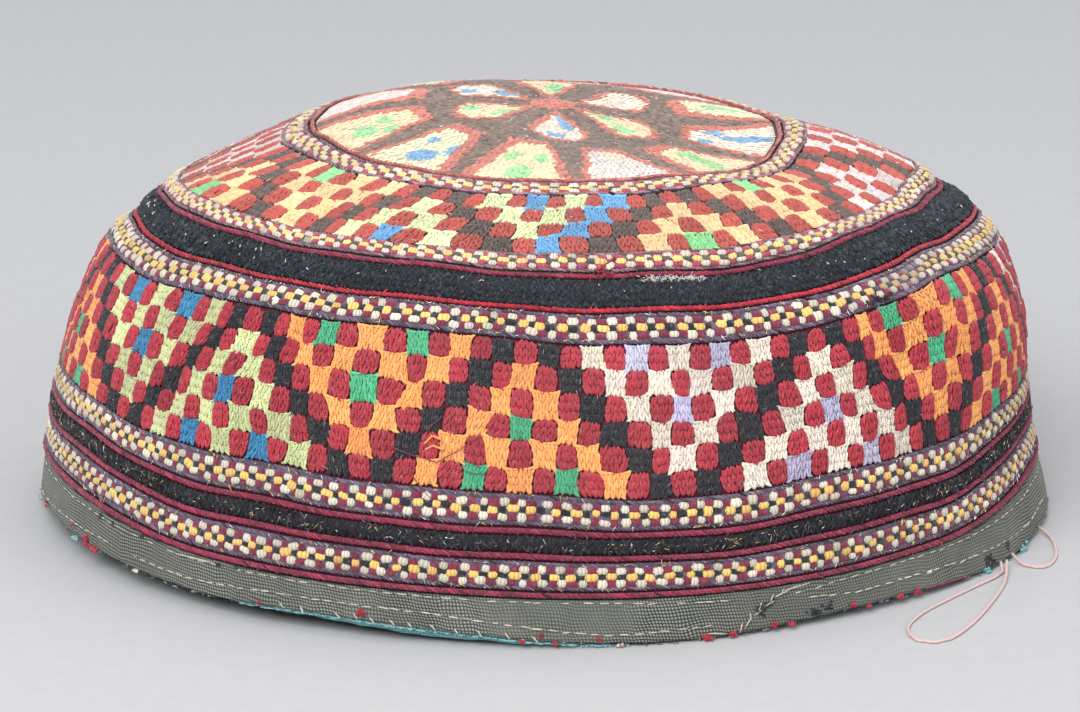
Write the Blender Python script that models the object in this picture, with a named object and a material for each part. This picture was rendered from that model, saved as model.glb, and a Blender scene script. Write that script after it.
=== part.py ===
"""An embroidered round skullcap at its real size: metres, +Z up, resting on its open rim.

The origin is on the surface that the cap stands on, under the middle of the rim. The front is -Y.
Every piece is a section whose corners are lengths along one shared profile of the cap and heights
above it. The section is spun flat round +Z, laid on the profile, and then settled: leaned, dented
and lifted as the soft cap is. One method does this for all pieces, so that they stay seated.
"""

import bisect
import math

import bmesh
import bpy
from mathutils import Vector

# The cap's outside, over all.
RIM_RADIUS = 0.0910
CAP_HEIGHT = 0.0732

# Cloth walls, measured through the cloth.
CROWN_WALL = 0.0024
BAND_WALL = 0.0026
HEM_WALL = 0.0015
LINING_WALL = 0.0011

# Widths along the surface of the cap.
MEDALLION_WIDTH = 0.0438
CROWN_BRAID_INNER_WIDTH = 0.0046
CROWN_BRAID_OUTER_WIDTH = 0.0041
ROLL_WIDTH = 0.0057
TOP_BRAID_WIDTH = 0.0055
MIDDLE_BRAID_WIDTH = 0.0050
STRIPE_WIDTH = 0.0024
LOWER_BRAID_WIDTH = 0.0048
HEM_HEIGHT = 0.0084
CORD_WIDTH = 0.0011

# How far trimmings stand out from the cloth that they are sewn to.
BRAID_THICKNESS = 0.0009
ROLL_THICKNESS = 0.0017
STRIPE_THICKNESS = 0.0006
CORD_THICKNESS = 0.0010

# Space left between neighbouring pieces.
CLEARANCE = 0.0003

# How the soft cap has settled.
LEAN = 0.0023
CROWN_TILT = -0.0006
CROWN_PITCH = 0.0018
LINE_TILT = 0.0009
OVAL_SHARE = 0.003
LOBE_COUNT = 5
LOBE_SHARE = 0.0016

SEGMENTS = 60
PROFILE_STEPS = 24

# Sections are spun flat at this radius before they are laid on the cap.
SPIN_RADIUS = 0.01

# The outline of the cloth from the middle of the crown to the rim.
# Columns: name, share of RIM_RADIUS, share of CAP_HEIGHT.
PROFILE = (
    ("apex", 0.000, 1.000),
    ("inner crown", 0.220, 0.980),
    ("medallion edge", 0.449, 0.926),
    ("mid crown", 0.609, 0.872),
    ("crown edge", 0.735, 0.808),
    ("shoulder top", 0.762, 0.774),
    ("shoulder", 0.793, 0.737),
    ("shoulder foot", 0.864, 0.669),
    ("upper side", 0.917, 0.518),
    ("lower side", 0.961, 0.333),
    ("foot of side", 0.979, 0.190),
    ("hem top", 0.990, 0.095),
    ("rim", 1.000, 0.000),
)

# Dents and swells of the settled cloth, a negative depth being a swell.
# Columns: azimuth and half width in degrees from the front towards +X, height and half height as
# shares of CAP_HEIGHT, and depth as a share of RIM_RADIUS.
DENTS = (
    ("swell at the pucker", 46.0, 8.0, 0.70, 0.09, -0.029),
    ("full left side", -92.0, 38.0, 0.55, 0.12, -0.005),
    ("full left shoulder", -92.0, 38.0, 0.86, 0.08, -0.022),
    ("full right side", 88.0, 40.0, 0.58, 0.15, -0.020),
    ("narrow right shoulder", 88.0, 38.0, 0.88, 0.08, 0.034),
    ("slack right foot", 88.0, 34.0, 0.30, 0.10, 0.007),
    ("swell by the seam", 62.0, 11.0, 0.58, 0.14, -0.013),
    ("hollow at back", 168.0, 26.0, 0.45, 0.26, 0.009),
    ("swell at back left", -140.0, 24.0, 0.40, 0.22, -0.006),
    ("flare of right hem", 74.0, 17.0, 0.00, 0.09, -0.018),
)

# Sags and swells of the crown seen from above.
# Columns: azimuth in degrees, distance and half width as shares of RIM_RADIUS, and drop as a share
# of CAP_HEIGHT.
CROWN_SAGS = (
    ("left shoulder sag", -118.0, 0.84, 0.28, 0.067),
    ("right shoulder sag", 118.0, 0.80, 0.34, 0.015),
    ("swell left of the middle", -104.0, 0.42, 0.22, -0.036),
    ("right of the middle", 60.0, 0.30, 0.18, 0.048),
    ("left crown", -90.0, 0.62, 0.15, 0.024),
    ("swell of right crown", 90.0, 0.64, 0.15, -0.044),
    ("front of medallion", 0.0, 0.30, 0.30, 0.013),
)

# Where the sewn lines stray along the cloth from even rings, a negative slide being upwards.
# Columns: azimuth and half width in degrees, run from the apex and half run as shares of
# RIM_RADIUS, and slide as a share of ROLL_WIDTH.
SLIDES = (
    ("seam at front left", -50.0, 30.0, 0.912, 0.132, -0.18),
    ("seam left of the front", -20.0, 24.0, 0.967, 0.132, -0.21),
    ("seam at front right", 58.0, 18.0, 0.923, 0.143, -0.82),
    ("seam at right", 84.0, 14.0, 1.011, 0.132, -0.30),
    ("stripe at front right", 18.0, 16.0, 1.231, 0.132, 0.25),
    ("hem at right", 80.0, 16.0, 1.319, 0.110, -0.58),
    ("hem at left", -70.0, 16.0, 1.319, 0.110, -0.42),
)

# Where the rim stands off the surface below it.
# Columns: azimuth and half width in degrees, and lift as a share of HEM_HEIGHT.
RIM_LIFTS = (
    ("left", -54.0, 22.0, 0.34),
    ("front left", -19.0, 12.0, 0.16),
    ("front right", 38.0, 11.0, 0.15),
)

# Where the hem has crept up further and bares the lining. Columns as in RIM_LIFTS.
HEM_CREEPS = (
    ("front", -10.0, 24.0, 0.17),
    ("right", 78.0, 6.0, 0.12),
    ("left", -74.0, 7.0, 0.10),
    ("back", 158.0, 30.0, 0.11),
)

# Columns: name, linear colour, roughness.
FINISHES = {
    "ground_cloth": ((0.30, 0.045, 0.030), 0.90),
    "checked_braid": ((0.62, 0.50, 0.30), 0.85),
    "crimson_cord": ((0.27, 0.020, 0.045), 0.80),
    "black_thread": ((0.020, 0.024, 0.030), 0.90),
    "grey_cloth": ((0.165, 0.175, 0.150), 0.88),
    "turquoise_cloth": ((0.15, 0.42, 0.42), 0.85),
}


def clear_scene():
    for obj in list(bpy.data.objects):
        bpy.data.objects.remove(obj)


def finish_material(name):
    """The named finish as a material, made once."""
    if name in bpy.data.materials:
        return bpy.data.materials[name]
    colour, roughness = FINISHES[name]
    material = bpy.data.materials.new(name)
    material.use_nodes = True
    shader = material.node_tree.nodes["Principled BSDF"]
    shader.inputs["Base Color"].default_value = (*colour, 1.0)
    shader.inputs["Roughness"].default_value = roughness
    shader.inputs["Metallic"].default_value = 0.0
    return material


def blend(a, b, c, d, t):
    """A point of the smooth curve from b to c, with a before them and d after."""
    return 0.5 * (
        2 * b + (c - a) * t + (2 * a - 5 * b + 4 * c - d) * t * t + (3 * b - a - 3 * c + d) * t**3
    )


class Profile:
    """The cap's outline as a smooth curve, measured along its length from the apex."""

    def __init__(self):
        knots = [Vector((r * RIM_RADIUS, z * CAP_HEIGHT)) for _, r, z in PROFILE]
        before = Vector((-knots[1].x, knots[1].y))
        after = knots[-1] * 2 - knots[-2]
        ends = [before, *knots, after]
        self.points = [knots[0]]
        self.arcs = [0.0]
        self.knot_arc = {PROFILE[0][0]: 0.0}
        for k in range(1, len(knots)):
            for step in range(1, PROFILE_STEPS + 1):
                point = blend(*ends[k - 1 : k + 3], step / PROFILE_STEPS)
                self.arcs.append(self.arcs[-1] + (point - self.points[-1]).length)
                self.points.append(point)
            self.knot_arc[PROFILE[k][0]] = self.arcs[-1]
        self.length = self.arcs[-1]

    def at(self, arc, offset=0.0):
        """The point at that length along the curve, moved out from it by offset."""
        arc = min(max(arc, 0.0), self.length)
        k = min(max(bisect.bisect_left(self.arcs, arc), 1), len(self.arcs) - 1)
        share = (arc - self.arcs[k - 1]) / (self.arcs[k] - self.arcs[k - 1])
        point = self.points[k - 1].lerp(self.points[k], share)
        if arc == 0.0:
            outward = Vector((0.0, 1.0))
        else:
            low = self.points[max(k - 2, 0)]
            high = self.points[min(k + 1, len(self.points) - 1)]
            along = (high - low).normalized()
            outward = Vector((-along.y, along.x))
        place = point + outward * offset
        return Vector((place.x, 0.0, place.y))

    def slide(self, arc, azimuth):
        """How far the sewn lines stray down the cloth at that place."""
        reach = LINE_TILT * math.sin(math.radians(azimuth)) * min(arc / MEDALLION_WIDTH, 1.0) ** 2
        for _, where, half_width, distance, half_run, share in SLIDES:
            level = hump(arc - distance * RIM_RADIUS, half_run * RIM_RADIUS)
            reach += share * ROLL_WIDTH * level * hump(turn_between(azimuth, where), half_width)
        return reach * min((self.length - arc) / HEM_HEIGHT, 1.0)

    def laid(self, corner, reshape):
        """Where a corner of a section spun flat lies on the settled cap, to the micrometre."""
        arc = round(math.hypot(corner.x, corner.y) - SPIN_RADIUS, 6)
        arc = min(max(arc, 0.0), self.length)
        turn = math.atan2(corner.x, -corner.y)
        place = self.at(arc + self.slide(arc, math.degrees(turn)), corner.z)
        point = Vector((math.sin(turn) * place.x, -math.cos(turn) * place.x, place.z))
        if reshape:
            reshape(point, arc)
        return settle(point)


def hump(distance, half_width):
    """1 at no distance, falling smoothly to 0 at twice half_width."""
    share = min(abs(distance) / (2 * half_width), 1.0)
    return (1 - share * share) ** 2


def turn_between(a, b):
    """The signed angle from b to a, in degrees, within half a turn."""
    return (a - b + 180.0) % 360.0 - 180.0


def settle(point):
    """Where a point of the newly sewn, perfectly round cap lies in the settled one."""
    radius = math.hypot(point.x, point.y)
    azimuth = math.degrees(math.atan2(point.x, -point.y))
    height_share = point.z / CAP_HEIGHT
    radius_share = radius / RIM_RADIUS
    turn = math.radians(azimuth)
    grow = OVAL_SHARE * math.cos(2 * turn)
    grow += LOBE_SHARE * math.cos(LOBE_COUNT * turn) * height_share
    for _, where, half_width, height, half_height, depth in DENTS:
        level = hump(height_share - height, half_height)
        grow -= depth * level * hump(turn_between(azimuth, where), half_width)
    drop = 0.0
    for _, where, distance, half_width, depth in CROWN_SAGS:
        across = math.radians(turn_between(azimuth, where)) * radius_share
        away = math.hypot(across, radius_share - distance)
        drop += depth * CAP_HEIGHT * hump(away, half_width) * height_share
    moved = radius + RIM_RADIUS * grow * min(radius_share * 2, 1.0)
    rise = height_share * height_share * (3 - 2 * min(height_share, 1.0))
    x = math.sin(turn) * moved + LEAN * rise
    y = -math.cos(turn) * moved
    tilt = (CROWN_TILT * x - CROWN_PITCH * y) / RIM_RADIUS
    return Vector((x, y, point.z - drop + tilt * rise))


def raised(point, rows):
    """How far the table's rows raise the rim at this point's azimuth."""
    azimuth = math.degrees(math.atan2(point.x, -point.y))
    lift = sum(
        share * hump(turn_between(azimuth, where), half_width)
        for _, where, half_width, share in rows
    )
    return lift * HEM_HEIGHT


def spot(arc, offset):
    """A corner of a flat section: how far along the profile, and how far out from it."""
    return Vector((SPIN_RADIUS + arc, 0.0, offset))


def spots(first, last, offset, count):
    """Corners spaced evenly from first to last along the profile."""
    return [spot(first + (last - first) * k / count, offset) for k in range(count + 1)]


def spun(profile, name, section, finish, closed=True, reshape=None):
    """The section spun round, laid on the profile and settled, as one solid object.

    A closed section makes a ring. An open one starts and ends at the apex, and makes a cap.
    """
    bm = bmesh.new()
    verts = [bm.verts.new(p) for p in section]
    pairs = list(zip(verts, verts[1:]))
    if closed:
        pairs.append((verts[-1], verts[0]))
    edges = [bm.edges.new(pair) for pair in pairs]
    bmesh.ops.spin(
        bm,
        geom=verts + edges,
        cent=(0, 0, 0),
        axis=(0, 0, 1),
        angle=math.tau,
        steps=SEGMENTS,
        use_merge=True,
    )
    for vert in bm.verts:
        vert.co = profile.laid(vert.co, reshape)
    bmesh.ops.remove_doubles(bm, verts=bm.verts[:], dist=1e-6)
    bmesh.ops.recalc_face_normals(bm, faces=bm.faces[:])
    mesh = bpy.data.meshes.new(name)
    bm.to_mesh(mesh)
    bm.free()
    mesh.shade_smooth()
    mesh.set_sharp_from_angle(angle=math.radians(40))
    mesh.materials.append(finish_material(finish))
    obj = bpy.data.objects.new(name, mesh)
    bpy.context.scene.collection.objects.link(obj)
    return obj


def strip(profile, name, first, last, thickness, finish, rows=1):
    """A flat trimming sewn round the cap, its top edges drawn in."""
    drawn_in = min(thickness, last - first) / 3
    back = spots(first, last, CLEARANCE, rows)
    face = spots(last - drawn_in, first + drawn_in, CLEARANCE + thickness, rows)
    return spun(profile, name, back + face, finish)


def cord(profile, name, first):
    """A round cord sewn down round the cap, as a ring with its corners up, down, in and out."""
    middle = first + CORD_WIDTH / 2
    centre = CLEARANCE + CORD_THICKNESS / 2
    section = [
        spot(middle, CLEARANCE),
        spot(first + CORD_WIDTH, centre),
        spot(middle, CLEARANCE + CORD_THICKNESS),
        spot(first, centre),
    ]
    return spun(profile, name, section, "crimson_cord")


def crown(profile, edge):
    """The domed top of the cap: one embroidered cloth panel, open below."""
    outside = spots(0.0, edge, 0.0, 9)
    inside = spots(edge, 0.0, -CROWN_WALL, 7)
    return spun(profile, "crown", outside + inside, "ground_cloth", closed=False)


def side_band(profile, top, braid_first, braid_last, bottom):
    """The embroidered cloth wall from the crown's edge down to the hem.

    Its rows follow the top braid's, so that the two bend alike over the swells under that braid.
    """
    outside = [spot(top, 0.0)]
    outside += spots(braid_first, braid_last, 0.0, 2)
    outside += spots(braid_last, bottom, 0.0, 4)[1:]
    inside = spots(bottom, top, -BAND_WALL, 5)
    return spun(profile, "side_band", outside + inside, "ground_cloth")


def rim_roll(profile, first, last):
    """The padded black roll over the seam of crown and band."""
    count = 4
    face = []
    for k in range(count + 1):
        swell = math.sin(math.pi * (k + 0.5) / (count + 1))
        face.append(spot(first + (last - first) * k / count, CLEARANCE + ROLL_THICKNESS * swell))
    back = [spot(last, CLEARANCE), spot(first, CLEARANCE)]
    return spun(profile, "rim_roll", face + back, "black_thread")


def foot_setter(profile, foot_height, rows):
    """A function that sets a piece's foot level and then raises it as the rows say."""

    def set_foot(point, arc):
        if arc > profile.length - CLEARANCE:
            point.z = foot_height
        share = 1 - min(point.z / HEM_HEIGHT, 1.0)
        point.z += raised(point, rows) * share

    return set_foot


def hem_band(profile, top):
    """The grey cloth that binds the rim, its lower edge raised in places."""
    outside = spots(top, profile.length, 0.0, 3)
    inside = spots(profile.length, top, -HEM_WALL, 2)
    raise_foot = foot_setter(profile, CLEARANCE, RIM_LIFTS + HEM_CREEPS)
    return spun(profile, "hem_band", outside + inside, "grey_cloth", reshape=raise_foot)


def lining_edge(profile, top):
    """The strip of lining that shows below the hem and carries the cap on its flat foot."""
    near = -HEM_WALL - CLEARANCE
    far = near - LINING_WALL
    section = [
        spot(top, near),
        spot(profile.length, near),
        spot(profile.length, far),
        spot(top, far),
    ]
    raise_foot = foot_setter(profile, 0.0, RIM_LIFTS)
    return spun(profile, "lining_edge", section, "turquoise_cloth", reshape=raise_foot)


def build():
    clear_scene()
    profile = Profile()
    seam = profile.knot_arc["shoulder"]

    # The crown, from its middle outwards.
    cord_run = CORD_WIDTH + CLEARANCE
    crown(profile, seam - CLEARANCE / 2)
    cord(profile, "medallion_cord", MEDALLION_WIDTH - cord_run)
    strip(
        profile,
        "crown_braid_inner",
        MEDALLION_WIDTH,
        MEDALLION_WIDTH + CROWN_BRAID_INNER_WIDTH,
        BRAID_THICKNESS,
        "checked_braid",
    )

    # The seam of crown and band, from the roll outwards.
    roll_top = seam - ROLL_WIDTH / 2
    roll_foot = seam + ROLL_WIDTH / 2
    rim_roll(profile, roll_top, roll_foot)
    cord(profile, "crown_cord", roll_top - cord_run)
    braid_foot = roll_top - cord_run - CLEARANCE
    strip(
        profile,
        "crown_braid_outer",
        braid_foot - CROWN_BRAID_OUTER_WIDTH,
        braid_foot,
        BRAID_THICKNESS,
        "checked_braid",
    )
    cord(profile, "rim_cord", roll_foot + CLEARANCE)
    braid_top = roll_foot + CLEARANCE + cord_run
    strip(
        profile,
        "band_braid_top",
        braid_top,
        braid_top + TOP_BRAID_WIDTH,
        BRAID_THICKNESS,
        "checked_braid",
        rows=2,
    )

    # The lower trimmings, from the hem upwards.
    hem_top = profile.length - HEM_HEIGHT
    side_band(
        profile,
        seam + CLEARANCE / 2,
        braid_top,
        braid_top + TOP_BRAID_WIDTH,
        hem_top - CLEARANCE,
    )
    hem_band(profile, hem_top)
    lining_edge(profile, hem_top)
    level = hem_top - cord_run
    cord(profile, "hem_cord", level)
    level -= CLEARANCE + LOWER_BRAID_WIDTH
    strip(
        profile,
        "band_braid_lower",
        level,
        level + LOWER_BRAID_WIDTH,
        BRAID_THICKNESS,
        "checked_braid",
    )
    level -= cord_run
    cord(profile, "stripe_cord_lower", level)
    level -= CLEARANCE + STRIPE_WIDTH
    strip(
        profile,
        "black_stripe",
        level,
        level + STRIPE_WIDTH,
        STRIPE_THICKNESS,
        "black_thread",
    )
    level -= cord_run
    cord(profile, "stripe_cord_upper", level)
    level -= CLEARANCE + MIDDLE_BRAID_WIDTH
    strip(
        profile,
        "band_braid_middle",
        level,
        level + MIDDLE_BRAID_WIDTH,
        BRAID_THICKNESS,
        "checked_braid",
    )


build()
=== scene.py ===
"""Dresses the packed skullcap for its picture: cloth, chain stitch, braids, cords, hem and threads.

Everything is in metres in the part's own frame: +Z up, the front at -Y, the floor at Z = 0. A place
on the cap is a run, in metres along the cloth from the middle of the crown, a turn, in degrees from
the front towards +X, and a lift, in metres out of the cloth.
"""

import math

import bmesh
import bpy
import numpy as np
from bpy.props import FloatProperty, FloatVectorProperty, PointerProperty
from mathutils import Matrix


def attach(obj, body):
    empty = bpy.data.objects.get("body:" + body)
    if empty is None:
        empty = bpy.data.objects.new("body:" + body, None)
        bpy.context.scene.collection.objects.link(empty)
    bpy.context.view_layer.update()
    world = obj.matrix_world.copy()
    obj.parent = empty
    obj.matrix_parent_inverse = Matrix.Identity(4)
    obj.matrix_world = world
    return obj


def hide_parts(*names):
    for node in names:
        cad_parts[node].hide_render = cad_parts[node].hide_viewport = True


bl_info = {
    "name": "Embroidered Skullcap",
    "version": (1, 0, 0),
    "blender": (4, 5, 0),
    "location": "View3D > Sidebar > Skullcap",
    "description": "Lays the cloth, stitches, braids and loose threads of a skullcap",
    "category": "Object",
}

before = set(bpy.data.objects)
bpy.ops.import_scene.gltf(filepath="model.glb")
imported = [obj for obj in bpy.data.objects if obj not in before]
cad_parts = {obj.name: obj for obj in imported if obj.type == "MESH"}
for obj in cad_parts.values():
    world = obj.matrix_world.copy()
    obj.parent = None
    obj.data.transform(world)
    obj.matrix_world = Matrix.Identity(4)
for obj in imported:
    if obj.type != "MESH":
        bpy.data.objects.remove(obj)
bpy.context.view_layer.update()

# The part's own sizes, in metres.
RIM_RADIUS = 0.0910
CAP_HEIGHT = 0.0732
CROWN_WALL = 0.0024
BAND_WALL = 0.0026
HEM_WALL = 0.0015
LINING_WALL = 0.0011
MEDALLION_WIDTH = 0.0438
CROWN_BRAID_INNER_WIDTH = 0.0046
CROWN_BRAID_OUTER_WIDTH = 0.0041
ROLL_WIDTH = 0.0057
TOP_BRAID_WIDTH = 0.0055
MIDDLE_BRAID_WIDTH = 0.0050
STRIPE_WIDTH = 0.0024
LOWER_BRAID_WIDTH = 0.0048
HEM_HEIGHT = 0.0084
CORD_WIDTH = 0.0011
BRAID_THICKNESS = 0.0009
ROLL_THICKNESS = 0.0017
CLEARANCE = 0.0003
LEAN = 0.0023
CROWN_TILT = -0.0006
CROWN_PITCH = 0.0018
LINE_TILT = 0.0009
OVAL_SHARE = 0.003
LOBE_COUNT = 5
LOBE_SHARE = 0.0016

# The part's outline: share of RIM_RADIUS, share of CAP_HEIGHT.
PROFILE = (
    (0.000, 1.000),
    (0.220, 0.980),
    (0.449, 0.926),
    (0.609, 0.872),
    (0.735, 0.808),
    (0.762, 0.774),
    (0.793, 0.737),
    (0.864, 0.669),
    (0.917, 0.518),
    (0.961, 0.333),
    (0.979, 0.190),
    (0.990, 0.095),
    (1.000, 0.000),
)
SHOULDER_KNOT = 6
PROFILE_STEPS = 24

# The part's dents: turn and half width in degrees, height and half height as shares of CAP_HEIGHT,
# depth as a share of RIM_RADIUS.
DENTS = (
    (46.0, 8.0, 0.70, 0.09, -0.029),
    (-92.0, 38.0, 0.55, 0.12, -0.005),
    (-92.0, 38.0, 0.86, 0.08, -0.022),
    (88.0, 40.0, 0.58, 0.15, -0.020),
    (88.0, 38.0, 0.88, 0.08, 0.034),
    (88.0, 34.0, 0.30, 0.10, 0.007),
    (62.0, 11.0, 0.58, 0.14, -0.013),
    (168.0, 26.0, 0.45, 0.26, 0.009),
    (-140.0, 24.0, 0.40, 0.22, -0.006),
    (74.0, 17.0, 0.00, 0.09, -0.018),
)

# The part's crown sags: turn, distance and half width as shares of RIM_RADIUS, drop as a share of
# CAP_HEIGHT.
CROWN_SAGS = (
    (-118.0, 0.84, 0.28, 0.067),
    (118.0, 0.80, 0.34, 0.015),
    (-104.0, 0.42, 0.22, -0.036),
    (60.0, 0.30, 0.18, 0.048),
    (-90.0, 0.62, 0.15, 0.024),
    (90.0, 0.64, 0.15, -0.044),
    (0.0, 0.30, 0.30, 0.013),
)

# The part's sewn lines where they slide along the cloth: turn and half width in degrees, run and
# half run as shares of RIM_RADIUS, slide as a share of ROLL_WIDTH.
SLIDES = (
    (-50.0, 30.0, 0.912, 0.132, -0.18),
    (-20.0, 24.0, 0.967, 0.132, -0.21),
    (58.0, 18.0, 0.923, 0.143, -0.82),
    (84.0, 14.0, 1.011, 0.132, -0.30),
    (18.0, 16.0, 1.231, 0.132, 0.25),
    (80.0, 16.0, 1.319, 0.110, -0.58),
    (-70.0, 16.0, 1.319, 0.110, -0.42),
)

# The part's raised rim: turn, half width, lift as a share of HEM_HEIGHT.
RIM_LIFTS = ((-54.0, 22.0, 0.34), (-19.0, 12.0, 0.16), (38.0, 11.0, 0.15))

# Where the hem's edge has crept up above the lining's, in the same columns.
HEM_CREEPS = ((-14.0, 15.0, 0.14), (78.0, 6.0, 0.12), (-74.0, 7.0, 0.10), (158.0, 30.0, 0.11))

# The camera: how far in front of the cap and how high it stands, how far down it looks, its lens.
CAMERA_DISTANCE = 0.872
CAMERA_HEIGHT = 0.262
CAMERA_PITCH = 15.19
CAMERA_LENS = 166.57

# How deep the stitched ground lies under the outside of the stitches, and how deep the feet of
# braids, cords, roll and stripe sink into the cloth.
GROUND_DEPTH = 0.0005
SINK = 0.0002

# Threads of the medallion: distance between rings, between stitches, width, height.
RING_STEP = 0.00080
STITCH_STEP = 0.00106
STITCH_WIDTH = 0.00104
STITCH_HEIGHT = 0.00026

# Slanting strands of the roll and of the stripe: distance between two, width.
ROLL_STRAND = (0.00068, 0.00066)
STRIPE_STRAND = (0.00062, 0.00050)

# A chain stitch cell: links down it, chains across it.
CHAIN_LINKS = 3
CHAIN_COLUMNS = 4

# How far a cell's pad and its chains lie above the ground.
PAD_LIFT = 0.00016
CHAIN_LIFT = 0.00030

# Where the medallion's coloured field lies under its stitches, top and underside.
FIELD_TOP = -0.00024
FIELD_FOOT = -0.0007

# How far the hem's two edges are rounded.
HEM_ROUNDING = 0.0004


def hump(distance, half_width):
    """1 at no distance, falling smoothly to 0 at twice half_width."""
    share = np.minimum(np.abs(distance) / (2 * half_width), 1.0)
    return (1 - share * share) ** 2


def apart(a, b):
    """The signed angle from b to a, in degrees, within half a turn."""
    return (a - b + 180.0) % 360.0 - 180.0


def raised(turn, rows):
    """How far the rows raise the rim at that turn."""
    return HEM_HEIGHT * sum(share * hump(apart(turn, where), half) for where, half, share in rows)


def unit(vectors):
    return vectors / np.maximum(np.linalg.norm(vectors, axis=-1, keepdims=True), 1e-12)


def curve_through(ends, steps):
    """Points on a smooth curve through all but the outer ends, and how far along it each is."""
    points = [ends[1]]
    for a, b, c, d in zip(ends, ends[1:], ends[2:], ends[3:]):
        for t in np.linspace(0, 1, steps + 1)[1:]:
            curve = 2 * b + (c - a) * t + (2 * a - 5 * b + 4 * c - d) * t * t
            points.append(0.5 * (curve + (3 * b - a - 3 * c + d) * t**3))
    points = np.array(points)
    gaps = np.linalg.norm(np.diff(points, axis=0), axis=1)
    return points, np.concatenate(([0.0], np.cumsum(gaps)))


def smooth_noise(x, y, seed, scale):
    """Smooth random numbers from -1 to 1 over a plane, the same at each run."""
    dice = np.random.default_rng(seed)
    total = np.zeros(np.broadcast(x, y).shape)
    for _ in range(7):
        way = dice.uniform(0, math.tau)
        phase = dice.uniform(0, math.tau)
        rate = math.tau / scale * dice.uniform(0.6, 1.7)
        total += np.sin((x * math.cos(way) + y * math.sin(way)) * rate + phase)
    return total / 4.0


class Cap:
    """The outside of the cap's cloth, as the part's source draws and settles it."""

    def __init__(self):
        knots = [np.array((r * RIM_RADIUS, z * CAP_HEIGHT)) for r, z in PROFILE]
        ends = [knots[1] * (-1, 1), *knots, knots[-1] * 2 - knots[-2]]
        self.points, self.runs = curve_through(ends, PROFILE_STEPS)
        self.length = self.runs[-1]
        self.seam = self.runs[SHOULDER_KNOT * PROFILE_STEPS]
        along = unit(np.gradient(self.points, self.runs, axis=0))
        self.outward = np.stack((-along[:, 1], along[:, 0]), axis=1)
        self.outward[0] = (0.0, 1.0)

    def point(self, run, turn, lift=0.0):
        """Places on the settled cap, as an array of points."""
        run, turn, lift = np.broadcast_arrays(run, turn, lift)
        run = run + self.waver(run, turn)
        radius = np.interp(run, self.runs, self.points[:, 0])
        z = np.interp(run, self.runs, self.points[:, 1])
        radius = radius + np.interp(run, self.runs, self.outward[:, 0]) * lift
        z = z + np.interp(run, self.runs, self.outward[:, 1]) * lift
        return self.settled(radius, turn, z)

    def waver(self, run, turn):
        """How far the sewn lines slide down the cloth: the part's slides, and small ones."""
        a = np.radians(turn)
        slide = LINE_TILT * np.sin(a) * np.minimum(run / MEDALLION_WIDTH, 1.0) ** 2
        for where, half, distance, half_run, share in SLIDES:
            level = hump(run - distance * RIM_RADIUS, half_run * RIM_RADIUS)
            slide = slide + share * ROLL_WIDTH * level * hump(apart(turn, where), half)
        small = 0.00018 * np.sin(5 * a + 60 * run + 1.0) + 0.00020 * np.sin(11 * a - 90 * run + 2.2)
        small += 0.00012 * np.sin(23 * a + 150 * run + 0.4)
        small *= np.clip(run / 0.03, 0, 1) * np.clip((self.length - HEM_HEIGHT - run) / 0.01, 0, 1)
        return slide * np.minimum((self.length - run) / HEM_HEIGHT, 1.0) + small

    def settled(self, radius, turn, z):
        a = np.radians(turn)
        height = z / CAP_HEIGHT
        share = radius / RIM_RADIUS
        grow = OVAL_SHARE * np.cos(2 * a) + LOBE_SHARE * np.cos(LOBE_COUNT * a) * height
        for where, half, level, half_level, depth in DENTS:
            grow = grow - depth * hump(height - level, half_level) * hump(apart(turn, where), half)
        drop = 0.0
        for where, distance, half, depth in CROWN_SAGS:
            away = np.hypot(np.radians(apart(turn, where)) * share, share - distance)
            drop = drop + depth * CAP_HEIGHT * hump(away, half) * height
        moved = radius + RIM_RADIUS * grow * np.minimum(share * 2, 1.0)
        rise = height * height * (3 - 2 * np.minimum(height, 1.0))
        x = np.sin(a) * moved + LEAN * rise
        y = -np.cos(a) * moved
        tilt = (CROWN_TILT * x - CROWN_PITCH * y) / RIM_RADIUS
        return np.stack((x, y, z - drop + tilt * rise), -1)

    def radius(self, run):
        return np.interp(run, self.runs, self.points[:, 0])


CAP = Cap()

# Where each trimming starts and ends along the cloth, worked out as the part's source does.
CORD_STEP = CORD_WIDTH + CLEARANCE
MEDALLION_CORD_RUN = MEDALLION_WIDTH - CORD_STEP
RING_FIRST = MEDALLION_WIDTH + CROWN_BRAID_INNER_WIDTH
ROLL_TOP = CAP.seam - ROLL_WIDTH / 2
ROLL_FOOT = CAP.seam + ROLL_WIDTH / 2
CROWN_CORD_RUN = ROLL_TOP - CORD_STEP
RING_LAST = CROWN_CORD_RUN - CLEARANCE - CROWN_BRAID_OUTER_WIDTH
RIM_CORD_RUN = ROLL_FOOT + CLEARANCE
TOP_BRAID_RUN = RIM_CORD_RUN + CORD_STEP
SIDE_FIRST = TOP_BRAID_RUN + TOP_BRAID_WIDTH
HEM_TOP = CAP.length - HEM_HEIGHT
HEM_CORD_RUN = HEM_TOP - CORD_STEP
LOWER_BRAID_RUN = HEM_CORD_RUN - CLEARANCE - LOWER_BRAID_WIDTH
STRIPE_CORD_LOWER_RUN = LOWER_BRAID_RUN - CORD_STEP
STRIPE_RUN = STRIPE_CORD_LOWER_RUN - CLEARANCE - STRIPE_WIDTH
STRIPE_CORD_UPPER_RUN = STRIPE_RUN - CORD_STEP
SIDE_LAST = STRIPE_CORD_UPPER_RUN - CLEARANCE - MIDDLE_BRAID_WIDTH

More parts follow.
